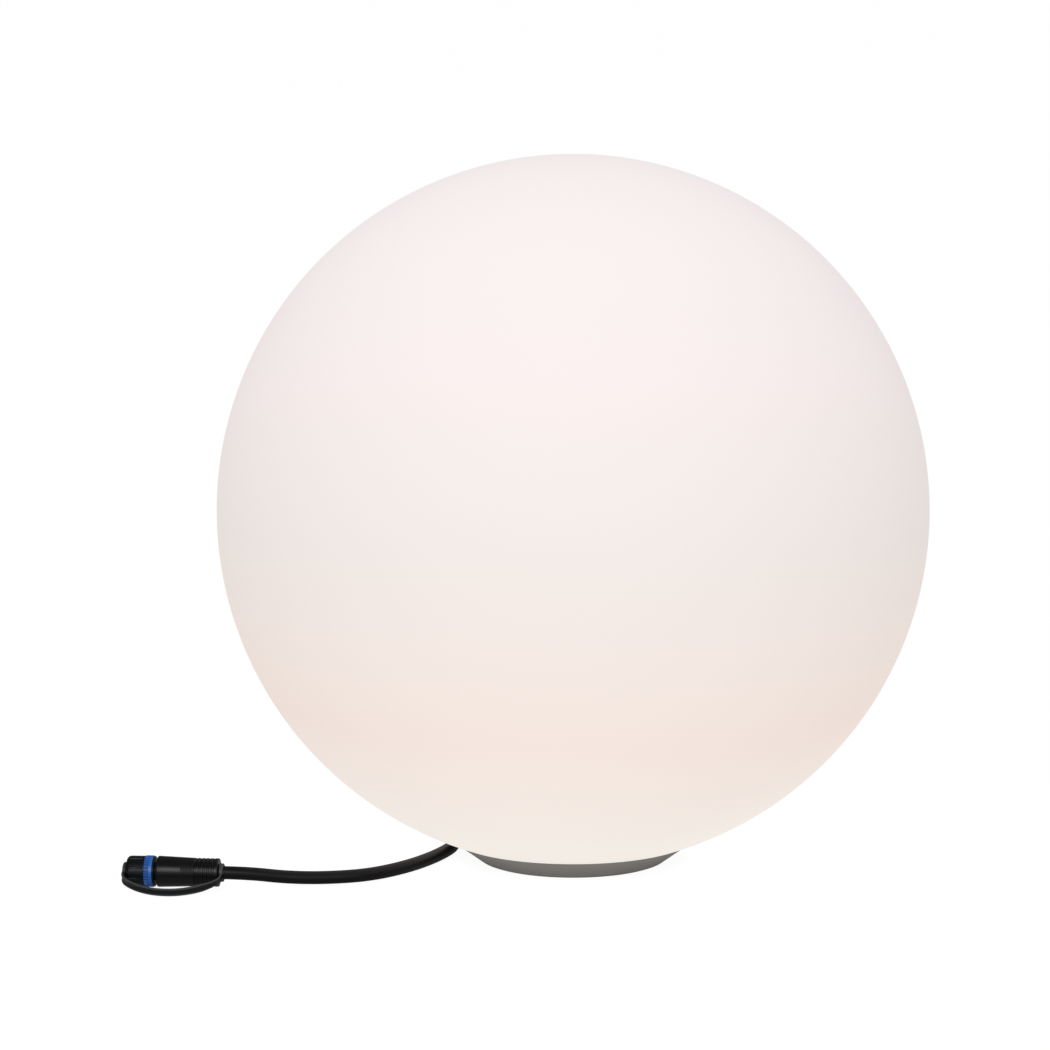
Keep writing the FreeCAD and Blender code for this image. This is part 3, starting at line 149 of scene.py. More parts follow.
class Finish:
    """A material with a Principled shader, and the patterns that feed it."""

    def __init__(self, name, color, roughness, metallic=0.0, **sockets):
        self.material = bpy.data.materials.new(name)
        self.material.use_nodes = True
        self.material.diffuse_color = (*color, 1)
        self.tree = self.material.node_tree
        self.shader = self.tree.nodes["Principled BSDF"]
        self.set("Base Color", (*color, 1))
        self.set("Roughness", roughness)
        self.set("Metallic", metallic)
        for socket, value in sockets.items():
            self.set(socket.replace("_", " "), value)
        self.place = self.node("ShaderNodeTexCoord")["Object"]

    def set(self, socket, value):
        target = self.shader.inputs[socket]
        if isinstance(value, Value):
            self.tree.links.new(value.socket, target)
        else:
            target.default_value = value

    def node(self, kind, settings=None, inputs=None):
        """A node by type, with its settings and its sockets' values or links. Gives its outputs."""
        made = self.tree.nodes.new(kind)
        for name, value in (settings or {}).items():
            if name == "stops":
                set_stops(made.color_ramp, value)
            else:
                setattr(made, name, value)
        for name, value in (inputs or {}).items():
            if isinstance(value, Value):
                self.tree.links.new(value.socket, made.inputs[name])
            else:
                made.inputs[name].default_value = value
        return {output.name: Value(self.tree, output) for output in made.outputs}

    def noise(self, per_metre, detail=2.0, stretch=(1, 1, 1)):
        """Cloudy noise from 0 to 1, with so many clouds to a metre."""
        place = self.node("ShaderNodeMapping", inputs={
            "Vector": self.place, "Scale": stretch})["Vector"]
        found = self.node("ShaderNodeTexNoise", inputs={
            "Vector": place, "Scale": per_metre, "Detail": detail})
        return found["Fac" if "Fac" in found else "Factor"]

    def height(self, axis="Z"):
        """Where a point is along one axis, in metres."""
        return self.node("ShaderNodeSeparateXYZ", inputs={"Vector": self.place})[axis]

    def distance(self, origin):
        """How far a point is from an origin, in metres."""
        offset = self.node("ShaderNodeVectorMath", {"operation": "SUBTRACT"},
                           {0: self.place, 1: origin})["Vector"]
        return self.node("ShaderNodeVectorMath", {"operation": "LENGTH"}, {0: offset})["Value"]

    def along(self, axis, origin):
        """How far a point is from an origin along an axis, in metres."""
        reach = self.node("ShaderNodeVectorMath", {"operation": "DOT_PRODUCT"},
                          {0: self.place, 1: axis})["Value"]
        return reach - origin.dot(axis)

    def mix(self, share, first, second):
        """A colour between two colours."""
        made = self.tree.nodes.new("ShaderNodeMix")
        made.data_type = "RGBA"
        colors = [slot for slot in made.inputs if slot.type == "RGBA"]
        self.tree.links.new(share.socket, made.inputs[0])
        for slot, color in zip(colors, (first, second)):
            if isinstance(color, Value):
                self.tree.links.new(color.socket, slot)
            else:
                slot.default_value = (*color, 1)
        result = next(output for output in made.outputs if output.type == "RGBA")
        return Value(self.tree, result)

    def bump(self, height, depth, strength=1.0):
        """Raise the surface by a height from 0 to 1, so many metres deep."""
        self.set("Normal", self.node("ShaderNodeBump", inputs={
            "Height": height, "Distance": depth, "Strength": strength})["Normal"])


# %% [markdown]
# ## Floor and sky
# The picture is on pure white. A white floor that only reflects would need so much light that
# the object would bleach, so the floor shows most of its white as light of its own, and only to
# rays that look straight at it. Reflections see a share of it. The rest is an ordinary matt
# grey, which still takes a soft shadow. The sky works in the same way: white to the camera,
# a plain level for the light it gives, and darker in reflections, because a photographer hangs
# dark flags over black pieces to keep their rims black.

# %% White for the camera
SKY_LEVEL, MIRROR_LEVEL = 0.45, 0.15


def ray_kinds(tree):
    """Two values: 1 for rays that look straight at a thing, and 1 for rays in a reflection."""
    path = tree.nodes.new("ShaderNodeLightPath")
    camera_ray, through_ray, glossy_ray = (
        Value(tree, path.outputs[kind])
        for kind in ("Is Camera Ray", "Is Transmission Ray", "Is Glossy Ray"))
    return (camera_ray + through_ray).clamped(), glossy_ray


# %% Floor
FLOOR_SIDE, FLOOR_GREY = 400.0, 0.35
FLOOR_GLOW, FLOOR_GLOW_STRENGTH = 0.62, 1.51


def make_floor():
    mesh = bpy.data.meshes.new("floor")
    form = bmesh.new()
    bmesh.ops.create_grid(form, x_segments=1, y_segments=1, size=FLOOR_SIDE / 2)
    form.to_mesh(mesh)
    form.free()
    floor = bpy.data.objects.new("floor", mesh)
    bpy.context.collection.objects.link(floor)
    paint = bpy.data.materials.new("floor_white")
    paint.use_nodes = True
    tree = paint.node_tree
    matt = tree.nodes["Principled BSDF"]
    matt.inputs["Base Color"].default_value = (FLOOR_GREY, FLOOR_GREY, FLOOR_GREY, 1)
    matt.inputs["Roughness"].default_value = 0.9
    matt.inputs["Specular IOR Level"].default_value = 0.1
    glow = tree.nodes.new("ShaderNodeEmission")
    glow.inputs["Color"].default_value = (1, 1, 1, 1)
    glow.inputs["Strength"].default_value = FLOOR_GLOW_STRENGTH
    blend = tree.nodes.new("ShaderNodeMixShader")
    straight, mirrored = ray_kinds(tree)
    tree.links.new(((straight + mirrored * MIRROR_LEVEL) * FLOOR_GLOW).socket, blend.inputs[0])
    tree.links.new(matt.outputs[0], blend.inputs[1])
    tree.links.new(glow.outputs[0], blend.inputs[2])
    tree.links.new(blend.outputs[0], tree.nodes["Material Output"].inputs["Surface"])
    mesh.materials.append(paint)


make_floor()
print("floor:", FLOOR_SIDE, "m a side,", FLOOR_GLOW, "of its white is its own light")


# %% Sky
def make_sky():
    world = bpy.data.worlds.new("studio")
    bpy.context.scene.world = world
    world.use_nodes = True
    tree = world.node_tree
    sky = tree.nodes["Background"]
    sky.inputs["Color"].default_value = (1, 1, 1, 1)
    straight, mirrored = ray_kinds(tree)
    level = straight * (1 - SKY_LEVEL) + mirrored * (MIRROR_LEVEL - SKY_LEVEL) + SKY_LEVEL
    tree.links.new(level.socket, sky.inputs["Strength"])


make_sky()
print("sky: gives", SKY_LEVEL, "and shows", MIRROR_LEVEL, "in reflections")

# %% [markdown]
# ## Lamps
# The ball makes its own light, so the lamps are only there for the dark pieces. Two large area
# lamps in front, one stronger than the other, give soft edges to the shine on the plug and a
# shadow that hardly shows, which is how the picture looks.


# %% Lamps
def area_lamp(name, place, aim, side, watts):
    """A square lamp of some metres a side, turned to shine at a point."""
    data = bpy.data.lights.new(name, "AREA")
    data.size = side
    data.energy = watts
    lamp = bpy.data.objects.new(name, data)
    bpy.context.collection.objects.link(lamp)
    lamp.location = place
    lamp.rotation_mode = "QUATERNION"
    lamp.rotation_quaternion = (Vector(aim) - Vector(place)).to_track_quat("-Z", "Y")
    print(name, "at, m:", place, "of", watts, "W")


area_lamp("key_lamp", (-0.9, -2.9, 1.5), BALL_CENTRE, 1.4, 36)
area_lamp("fill_lamp", (1.2, -2.9, 1.0), BALL_CENTRE, 1.6, 18)

# %% [markdown]
# ## Opal ball
# The ball is blown from milky plastic and lit by LEDs inside. A translucent shell around real
# lamps would be slow and grainy, and would lose its light on export. So the skin glows by
# itself: a colour ramp over its height gives the rosy top, the cooler middle and the bright
# foot. It hardly mirrors at all, as a satin skin that shines by itself hides reflections.


# %% Opal ball
def opal_finish():
    """Lit from inside: rosy at the top, cooler in the middle, and warm and bright at the foot."""
    finish = Finish("opal", (0.33, 0.31, 0.295), 0.50,
                    Specular_IOR_Level=0.04, Emission_Strength=0.772)
    cloud = finish.noise(5, 1.0) * 0.06 - 0.03
    rise = (finish.height() / BALL_SIZE + cloud).clamped()
    finish.set("Emission Color", finish.node("ShaderNodeValToRGB", {"stops": [
        (0.06, (1.00, 0.945, 0.880)),
        (0.24, (0.93, 0.795, 0.732)),
        (0.50, (0.82, 0.757, 0.727)),
        (0.80, (0.875, 0.788, 0.808)),
        (0.97, (0.894, 0.826, 0.834)),
    ]}, {"Fac": rise})["Color"])
    finish.set("Roughness", 0.46 + finish.noise(220, 3.0) * 0.10)
    finish.bump(finish.noise(900, 2.0), 0.04 * MM, 0.4)
    return finish.material


FINISHES = {"opal": opal_finish()}

# %% [markdown]
# ## Painted foot
# The foot is pressed metal under a silver grey paint. The flakes in such a paint show as a fine
# sparkle, and a fine noise between two greys gives it at far less cost than single flakes.


# %% Painted foot
def painted_metal_finish():
    finish = Finish("foot_metal", (0.48, 0.455, 0.43), 0.38, 0.25)
    sparkle = finish.noise(2600, 2.0)
    finish.set("Base Color", finish.mix(sparkle, (0.46, 0.438, 0.414), (0.60, 0.570, 0.540)))
    finish.set("Roughness", 0.36 + finish.noise(500) * 0.14)
    finish.bump(sparkle, 0.03 * MM, 0.5)
    return finish.material


FINISHES["foot_metal"] = painted_metal_finish()

# %% [markdown]
# ## Moulded rubber and plastic
# Most pieces come out of a mould, which leaves a fine grain and a gloss that changes slightly
# from place to place. One function makes them all, and a table gives each its colour, its
# roughness and what else is special: `lift` is how much lighter the grain's tops are, `grain`
# how many grains there are to a metre, and `shine` the specular level.


# %% Moulded pieces
def moulded_finish(name, color, roughness, grain=1800, lift=1.6, shine=0.5):
    """Rubber or plastic from a mould: one colour, a fine grain and slightly uneven gloss."""
    finish = Finish(name, color, roughness, Specular_IOR_Level=shine)
    fine = finish.noise(grain, 3.0)
    cloud = finish.noise(60, 2.0)
    lighter = tuple(min(1.0, part * lift) for part in color)
    finish.set("Base Color", finish.mix((fine * 0.5 + cloud * 0.5).clamped(), color, lighter))
    finish.set("Roughness", roughness - 0.06 + cloud * 0.12)
    finish.bump(fine, 0.05 * MM, 0.6)
    return finish.material


MOULDED = [
    ("rubber_pad", (0.030, 0.030, 0.030), 0.75, {}),
    ("pan_plastic", (0.035, 0.035, 0.036), 0.50, {}),
    ("silicone", (0.50, 0.17, 0.10), 0.55, {"lift": 1.2}),
    ("gland_plastic", (0.028, 0.028, 0.029), 0.45, {}),
    ("cable_rubber", (0.002, 0.002, 0.003), 0.44, {"grain": 1400, "shine": 0.20}),
    ("boot_rubber", (0.006, 0.006, 0.007), 0.50, {"shine": 0.25}),
    ("tower_plastic", (0.78, 0.78, 0.76), 0.45, {"lift": 1.08}),
    ("thermal_pad", (0.38, 0.42, 0.50), 0.80, {"lift": 1.15}),
    ("led_phosphor", (0.90, 0.68, 0.18), 0.35, {"lift": 1.1}),
    ("opal_cap", (0.85, 0.84, 0.82), 0.40, {"lift": 1.05}),
    ("ferrite", (0.04, 0.04, 0.045), 0.65, {}),
    ("capacitor_can", (0.05, 0.06, 0.12), 0.30, {}),
    ("chip_black", (0.018, 0.018, 0.018), 0.55, {}),
    ("terminal_green", (0.02, 0.22, 0.09), 0.45, {}),
    ("connector_white", (0.74, 0.72, 0.64), 0.45, {"lift": 1.1}),
    ("core_insulation", (0.36, 0.05, 0.03), 0.35, {}),
    ("plug_grip", (0.002, 0.002, 0.003), 0.33, {"shine": 0.32}),
    ("plug_insert", (0.012, 0.014, 0.014), 0.40, {"shine": 0.3}),
    ("nut_plastic", (0.001, 0.003, 0.004), 0.36, {"shine": 0.26}),
    ("cap_rubber", (0.040, 0.039, 0.043), 0.45, {"shine": 0.4}),
]
for name, color, roughness, special in MOULDED:
    FINISHES[name] = moulded_finish(name, color, roughness, **special)
print(len(MOULDED), "moulded finishes")

# %% [markdown]
# ## Bare metal
# Screws, contacts, clip and heat spreader are bare metal. A metal shows by how its scratches
# catch the light, so fine noise changes both its gloss and its brightness. Stretched along one
# axis, the same noise makes the drawn surface of a sheet.


# %% Bare metal
def metal_finish(name, color, roughness, stretch=(1, 1, 1)):
    """Bare metal with fine scratches along one axis."""
    finish = Finish(name, color, roughness, 1.0)
    scratch = finish.noise(900, 3.0, stretch)
    darker = tuple(part * 0.75 for part in color)
    finish.set("Base Color", finish.mix(scratch, darker, color))
    finish.set("Roughness", roughness - 0.08 + scratch * 0.16)
    finish.bump(scratch, 0.02 * MM, 0.4)
    return finish.material


METALS = [
    ("screw_steel", (0.60, 0.60, 0.61), 0.32),
    ("spreader_aluminium", (0.80, 0.81, 0.82), 0.30, (1, 12, 1)),
    ("contact_brass", (0.83, 0.62, 0.27), 0.25),
    ("clip_steel", (0.58, 0.58, 0.58), 0.30),
]
for values in METALS:
    FINISHES[values[0]] = metal_finish(*values)
print(len(METALS), "metals")

# %% [markdown]
# ## Printed boards
# Under its solder mask a board has copper areas that stand up a little. A cell pattern with
# straight borders comes close to such areas without a drawing of the tracks.


# %% Boards
def board_finish(name, mask, copper):
    """Printed board: solder mask over the faint relief of copper areas."""
    finish = Finish(name, mask, 0.35)
    cells = finish.node("ShaderNodeTexVoronoi", {"feature": "F1", "distance": "MANHATTAN"},
                        {"Vector": finish.place, "Scale": 260.0})
    area = ((cells["Distance"] - 0.25) * 30).clamped()
    finish.set("Base Color", finish.mix(area, copper, mask))
    finish.bump(area, 0.04 * MM, 0.6)
    return finish.material


FINISHES["led_board"] = board_finish("led_board", (0.85, 0.85, 0.82), (0.70, 0.70, 0.66))
FINISHES["driver_board"] = board_finish("driver_board", (0.02, 0.16, 0.06), (0.05, 0.24, 0.09))
print(len(FINISHES), "finishes so far")

# %% [markdown]
# ## Lead
# The lead is a round two-core rubber cable that lies where it falls. A curve with a round bevel
# stays one smooth tube that can be laid again later, which a tube of faces can't, so it is a
# spline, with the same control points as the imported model. It leaves the boot behind the foot,
# turns round beside it and runs to the plug. Its tail runs under the foot to the gland.

# %% Lead
LEAD_DIAMETER = 7.4 * MM
LEAD_EXIT = (0.0, 84.0, 4.9)
LEAD_ROUTE = [
    LEAD_EXIT,
    (0.0, 106.0, 4.9),
    (-10.0, 132.0, 4.0),
    (-33.0, 150.0, 3.75),
    (-62.0, 150.0, 3.75),
    (-85.0, 132.0, 3.75),
    (-92.0, 104.0, 3.75),
    (-85.5, 75.0, 3.75),
    (-70.0, 45.0, 3.75),
    (-67.0, 14.0, 3.75),
    (-77.0, -14.0, 3.75),
    (-92.0, -40.0, 3.75),
    (-112.5, -61.0, 3.75),
    (-136.0, -69.0, 3.9),
    (-158.0, -73.5, 5.2),
    (-178.3, -78.9, 8.8),
    (-194.8, -77.46, 8.8),
]
GLAND_BACK = (0.0, -26.3, 14.0)
TAIL_ROUTE = [GLAND_BACK, (0.0, 9.6, 14.0), (0.0, 26.6, 4.9), LEAD_EXIT]


def make_lead(name, routes, diameter, slot):
    """Smooth round cords along routes of points in millimetres."""
    curve = bpy.data.curves.new(name, "CURVE")
    curve.dimensions = "3D"
    curve.bevel_depth = diameter / 2
    curve.bevel_resolution = 6
    curve.resolution_u = 10
    curve.use_fill_caps = True
    for route in routes:
        spline = curve.splines.new("NURBS")
        spline.points.add(len(route) - 1)
        for point, place in zip(spline.points, route):
            point.co = (*(c * MM for c in place), 1)
        spline.order_u = 3
        spline.use_endpoint_u = True
    curve.materials.append(FINISHES[slot])
    lead = bpy.data.objects.new(name, curve)
    bpy.context.collection.objects.link(lead)
    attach(lead, "lamp")
    print(name, "through", sum(len(route) for route in routes), "points")
    return lead


lead = make_lead("lead", [LEAD_ROUTE], LEAD_DIAMETER, "cable_rubber")
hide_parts("cable")
tail = make_lead("lead_tail", [TAIL_ROUTE], LEAD_DIAMETER, "cable_rubber")
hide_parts("cable_tail")

# %% [markdown]
# ## Shapes
# Most pieces of this lamp are turned: a flat outline spun about an axis. An outline is a list
# of (radius, height) corners in millimetres, and a corner with a third number is rounded, that
# number being how far from the corner the rounding starts. Teeth and grooves are pressed into
# the spun skin afterwards, by moving its points towards the axis.

# %% Outlines
ROUND_STEPS = 4


def rounded(corners):
    """The points of a closed outline, with its rounded corners worked out."""
    points = []
    for index, corner in enumerate(corners):
        here = Vector(corner[:2])
        if len(corner) == 2:
            points.append(here)
            continue
        before = Vector(corners[index - 1][:2])
        after = Vector(corners[(index + 1) % len(corners)][:2])
        enter = here + (before - here).normalized() * corner[2]
        leave = here + (after - here).normalized() * corner[2]
        for step in range(ROUND_STEPS + 1):
            share = step / ROUND_STEPS
            points.append(enter.lerp(here, share).lerp(here.lerp(leave, share), share))
    return points


def arc(centre, radius, first, last, steps):
    """Points of an arc in the outline's plane, from one angle in degrees to another."""
    x, y = centre
    angles = [math.radians(first + (last - first) * step / steps) for step in range(steps + 1)]
    return [(x + radius * math.cos(angle), y + radius * math.sin(angle)) for angle in angles]


# %% Turned and pressed shapes
ON_AXIS, SAME_POINT = 1e-6, 1e-7


def spun(outline, steps=96, opening=0.0):
    """A solid from an outline of (radius, height) points. An opening in degrees is left in it,
    centred on the +Y side, with flat ends."""
    form = bmesh.new()
    verts = [form.verts.new((radius * MM, 0, height * MM)) for radius, height in outline]
    on_axis = outline[0][0] < ON_AXIS and outline[-1][0] < ON_AXIS
    ends = verts[1:] if on_axis else verts[1:] + verts[:1]
    edges = [form.edges.new(pair) for pair in zip(verts, ends)]
    start = math.radians(90 + opening / 2)
    bmesh.ops.rotate(form, verts=verts, matrix=Matrix.Rotation(start, 3, "Z"))
    if opening:
        form.faces.new(verts)
    swept = bmesh.ops.spin(form, geom=verts + edges, cent=(0, 0, 0), axis=(0, 0, 1),
                           angle=math.tau - math.radians(opening), steps=steps,
                           use_merge=not opening)
    if opening:
        last = [item for item in swept["geom_last"] if isinstance(item, bmesh.types.BMVert)]
        bmesh.ops.contextual_create(form, geom=last)
    bmesh.ops.remove_doubles(form, verts=form.verts, dist=SAME_POINT)
    bmesh.ops.recalc_face_normals(form, faces=form.faces)
    return form


def spun_ring(outline, steps):
    """Turn a closed outline that meets the axis somewhere along its way."""
    cut = max(index for index, point in enumerate(outline) if point[0] < ON_AXIS)
    return spun(outline[cut:] + outline[:cut], steps)


def pressed(form, depth):
    """Move each point inwards by depth(angle, height, radius), in degrees and millimetres."""
    for vert in form.verts:
        radius = vert.co.to_2d().length
        if radius < ON_AXIS:
            continue
        angle = math.degrees(math.atan2(vert.co.y, vert.co.x))
        share = 1 - depth(angle, vert.co.z / MM, radius / MM) * MM / radius
        vert.co.x *= share
        vert.co.y *= share
    return form


# %% [markdown]
# ## From a form to a piece
# A finished form becomes an object once its place is in its points, so that the object itself
# stays at the origin, unturned. Smooth shading with sharp edges where the skin really turns
# makes few faces look round. Then the CAD node that the piece stands for is hidden, and the
# piece is hung on the body of the lamp that it moves with.

# %% Pieces
CREASE = math.radians(35)


def piece(name, node, form, slot, body="lamp", place=None):
    """Make an object of a finished form, in its finish, that stands for a CAD node."""
    if place:
        bmesh.ops.transform(form, matrix=place, verts=form.verts)
    mesh = bpy.data.meshes.new(name)
    form.to_mesh(mesh)
    form.free()
    mesh.shade_smooth()
    mesh.set_sharp_from_angle(angle=CREASE)
    mesh.materials.append(FINISHES[slot])
    obj = bpy.data.objects.new(name, mesh)
    bpy.context.collection.objects.link(obj)
    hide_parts(node)
    if body:
        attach(obj, body)
    print(name, "has", len(mesh.polygons), "faces")
    return obj


def joined(*forms):
    """One form from several, each of which stays a closed shell."""
    result = forms[0]
    for form in forms[1:]:
        mesh = bpy.data.meshes.new("part")
        form.to_mesh(mesh)
        form.free()
        result.from_mesh(mesh)
        bpy.data.meshes.remove(mesh)
    return result


def moved(form, x=0.0, y=0.0, z=0.0):
    """The form, moved by millimetres."""
    bmesh.ops.translate(form, verts=form.verts, vec=Vector((x, y, z)) * MM)
    return form


# %% [markdown]
# ## Ball
# The real ball is blown in one piece, 3 mm thick, with a recess below where the foot sits and a
# mouth in it for the works. A sphere with a hole cut in it would have ragged edges, so one
# outline, out along the recess, up the outside and down the inside, is spun instead. Four
# bosses over the recess take the foot's screws.

# %% Ball
GLOBE_RADIUS, GLOBE_WALL = 200.0, 3.0
SEAM_RADIUS, FOOT_HEIGHT = 68.0, 11.5
GLOBE_CENTRE = FOOT_HEIGHT + math.sqrt(GLOBE_RADIUS ** 2 - SEAM_RADIUS ** 2)
RECESS_RADIUS, RECESS_TOP, MOUTH_RADIUS = 54.0, 14.5, 34.5
BOSS_PITCH, BOSS_RADIUS, BOSS_TOP = 43.5, 4.5, 29.99
BOSS_BORE, BOSS_LID = 2.05, 3.0


def make_globe():
    inner = GLOBE_RADIUS - GLOBE_WALL
    low_outer = math.degrees(math.asin((FOOT_HEIGHT - GLOBE_CENTRE) / GLOBE_RADIUS))
    low_inner = math.degrees(math.asin((RECESS_TOP - GLOBE_CENTRE) / inner))
    skin = rounded([
        (MOUTH_RADIUS, RECESS_TOP, 0.5),
        (RECESS_RADIUS, RECESS_TOP, 0.5),
        (RECESS_RADIUS, FOOT_HEIGHT, 0.8),
        (SEAM_RADIUS - 0.4, FOOT_HEIGHT),
    ])
    outline = skin + arc((0, GLOBE_CENTRE), GLOBE_RADIUS, low_outer + 0.1, 90, 80)
    outline += arc((0, GLOBE_CENTRE), inner, 90, low_inner, 60)
    outline += rounded([
        (RECESS_RADIUS + GLOBE_WALL, RECESS_TOP),
        (RECESS_RADIUS + GLOBE_WALL, RECESS_TOP + GLOBE_WALL, 1.0),
        (MOUTH_RADIUS, RECESS_TOP + GLOBE_WALL, 0.5),
    ])
    bosses = []
    for corner in range(4):
        boss = spun(rounded([
            (BOSS_BORE, RECESS_TOP + GLOBE_WALL),
            (BOSS_RADIUS, RECESS_TOP + GLOBE_WALL),
            (BOSS_RADIUS, BOSS_TOP, 0.8),
            (0, BOSS_TOP),
            (0, BOSS_TOP - BOSS_LID),
            (BOSS_BORE, BOSS_TOP - BOSS_LID),
        ]), 32)
        angle = math.radians(45 + 90 * corner)
        bosses.append(moved(boss, BOSS_PITCH * math.cos(angle), BOSS_PITCH * math.sin(angle)))
    piece("ball", "globe_shell", joined(spun_ring(outline, 192), *bosses), "opal")


make_globe()

# %% [markdown]
# ## Rubber ring
# A flat rubber ring under the foot keeps it from sliding, and it stops on both sides of the
# notch for the lead. Spun less than once round, it gets its two flat ends at the same time.

# %% Rubber ring under the foot
PAD_INNER, PAD_OUTER, PAD_HEIGHT, NOTCH_WIDTH = 48.6, 51.9, 1.7, 10.0


def make_rubber_foot():
    section = rounded([(PAD_INNER, 0, 0.5), (PAD_OUTER, 0, 0.5),
                       (PAD_OUTER, PAD_HEIGHT, 0.2), (PAD_INNER, PAD_HEIGHT, 0.2)])
    notch = 2 * math.degrees(math.asin(NOTCH_WIDTH / (PAD_INNER + PAD_OUTER)))
    piece("rubber_ring", "rubber_foot", spun(section, 120, notch), "rubber_pad")


make_rubber_foot()

# %% [markdown]
# ## Boot
# The boot is a sleeve on the lead in the notch of the foot, with rings cut in its slim end so
# that the lead bends gently there. The rings are part of its outline, because cutting them out
# of a finished sleeve would need a Boolean for each.

# %% Boot
ALONG_Y = Matrix.Rotation(math.radians(-90), 4, "X")
BOOT_START, BOOT_TAPER, BOOT_END = 44.0, 62.0, 84.0
BOOT_RINGS, BOOT_RING_STEP = 6, 3.2


def make_boot():
    thick, slim, bore = 4.7, 4.15, 3.72
    corners = [(bore, BOOT_START), (thick, BOOT_START, 0.4)]
    for groove in range(BOOT_RINGS):
        near = BOOT_TAPER + BOOT_RING_STEP * groove
        surface = thick - (near - BOOT_TAPER) * (thick - slim) / (BOOT_END - BOOT_TAPER)
        corners += [(surface, near, 0.12), (surface - 0.35, near + 0.1, 0.12),
                    (surface - 0.37, near + 0.9, 0.12), (surface - 0.02, near + 1.0, 0.12)]
    corners += [(slim, BOOT_END, 0.25), (bore, BOOT_END)]
    place = Matrix.Translation((0, 0, LEAD_EXIT[2] * MM)) @ ALONG_Y
    return piece("boot", "cable_boot", spun(rounded(corners), 64), "boot_rubber", place=place)


boot = make_boot()

# %% [markdown]
# ## Plug
# The plug's axis is the joint that its screw ring turns on, so its place comes from the frame
# and not from a number typed here: were the joint to move, the plug would follow. Lengths run
# from the back face of the plug, along the axis, to the cap.

# %% Plug axis
turn_joint = next(joint for joint in frame["joints"] if joint["name"] == "nut_turn")
PLUG_BACK = Vector(turn_joint["pos_m"])
PLUG_AXIS = Vector(turn_joint["axis"]).normalized()
PLUG_FRONT_SIDE = Vector((0, 0, 1)).cross(PLUG_AXIS)
PLUG_PLACE = Matrix.Translation(PLUG_BACK) @ Matrix(
    (PLUG_FRONT_SIDE, (0, 0, 1), PLUG_AXIS)).transposed().to_4x4()
print("plug's back, mm:", [round(part / MM, 2) for part in PLUG_BACK])

# %% [markdown]
# ## Grip
# The grip is moulded round the lead. Five ribs at its back are deepest on the two sides, where
# fingers hold them, and a row of fine ribs is on the sides alone. Ribs joined on by Booleans
# would end in hard edges. So the body is turned with many stations along its length, and the
# gaps between the ribs are pressed in, as deep as they are at each angle and height. That
# keeps one closed skin with soft edges.

# %% Soft trenches
def trench(distance, width, edge):
    """1 inside a trench of some width, falling to 0 over its edges."""
    share = min(1.0, max(0.0, (width / 2 - distance) / edge + 0.5))
    return share * share * (3 - 2 * share)


def comb(height, start, step, count, width, edge):
    """1 inside each of a row of trenches along the axis, the first of them at the start."""
    nearest = min(count - 1, max(0, round((height - start) / step)))
    return trench(abs(height - start - nearest * step), width, edge)


# %% Plug grip
GRIP_LENGTH, GRIP_BACK, GRIP_FRONT = 34.2, 7.8, 8.6
RIBS, RIB_START, RIB_STEP, RIB_GAP = 5, 2.2, 2.4, 1.1
FINE_RIBS, FINE_START, FINE_STEP, FINE_GAP = 7, 14.0, 1.0, 0.5
RIB_EDGE, FINE_EDGE = 0.35, 0.3
ROUND_DEPTH, SIDE_DEPTH, FINE_DEPTH = 0.2, 0.35, 0.16
SIDE_SPAN, SIDE_FADE = 130, 30
FINE_SPAN, FINE_FADE = 76, 16
INSERT_BACK, GRIP_BORE = 20.2, 5.05
STATIONS, STATION_START, STATION_STEP = 141, 1.8, 0.14


def grip_depth(angle, height, radius):
    """Ribs that are deepest on the two sides, and a row of fine ribs on the sides only."""
    if radius < GRIP_BACK - 0.1:
        return 0
    off = abs((angle + 90) % 180 - 90)
    coarse = comb(height, RIB_START + RIB_GAP / 2, RIB_STEP, RIBS, RIB_GAP, RIB_EDGE)
    fine = comb(height, FINE_START, FINE_STEP, FINE_RIBS, FINE_GAP, FINE_EDGE)
    return (coarse * (ROUND_DEPTH + SIDE_DEPTH * trench(off, SIDE_SPAN, SIDE_FADE))
            + fine * FINE_DEPTH * trench(off, FINE_SPAN, FINE_FADE))


def make_plug_body():
    taper_start = RIB_START + (RIBS - 1) * RIB_STEP + RIB_GAP
    slope = (GRIP_FRONT - GRIP_BACK) / (GRIP_LENGTH - 0.7 - taper_start)
    stations = [STATION_START + STATION_STEP * step for step in range(STATIONS)]
    corners = [(0, 0), (GRIP_BACK, 0, 0.35)]
    corners += [(GRIP_BACK + slope * max(0, height - taper_start), height) for height in stations]
    corners += [(GRIP_FRONT, GRIP_LENGTH, 0.9), (GRIP_BORE, GRIP_LENGTH, 0.3),
                (GRIP_BORE, INSERT_BACK), (0, INSERT_BACK)]
    form = pressed(spun(rounded(corners), 120), grip_depth)
    return piece("grip", "plug_body", form, "plug_grip", place=PLUG_PLACE)


plug_body = make_plug_body()

# %% [markdown]
# ## Inside the plug
# An insert carries two contacts and ends in a sleeve with an O-ring, and a spring clip keeps the
# screw ring on. They show when the cap is off. All are turned too: the O-ring from a round
# section, and the clip from a flat one with an opening left in it.

# %% Insert
NECK_RADIUS, NECK_END = 5.0, 38.6
CLIP_GROOVE, CLIP_BACK, CLIP_FRONT = 4.25, 37.4, 38.2
SLEEVE_RADIUS, SLEEVE_BORE, SLEEVE_END = 4.6, 3.4, 48.5
SEAL_GROOVE, SEAL_BACK, SEAL_FRONT = 4.1, 43.45, 44.75
INSERT_FLOOR = 40.5


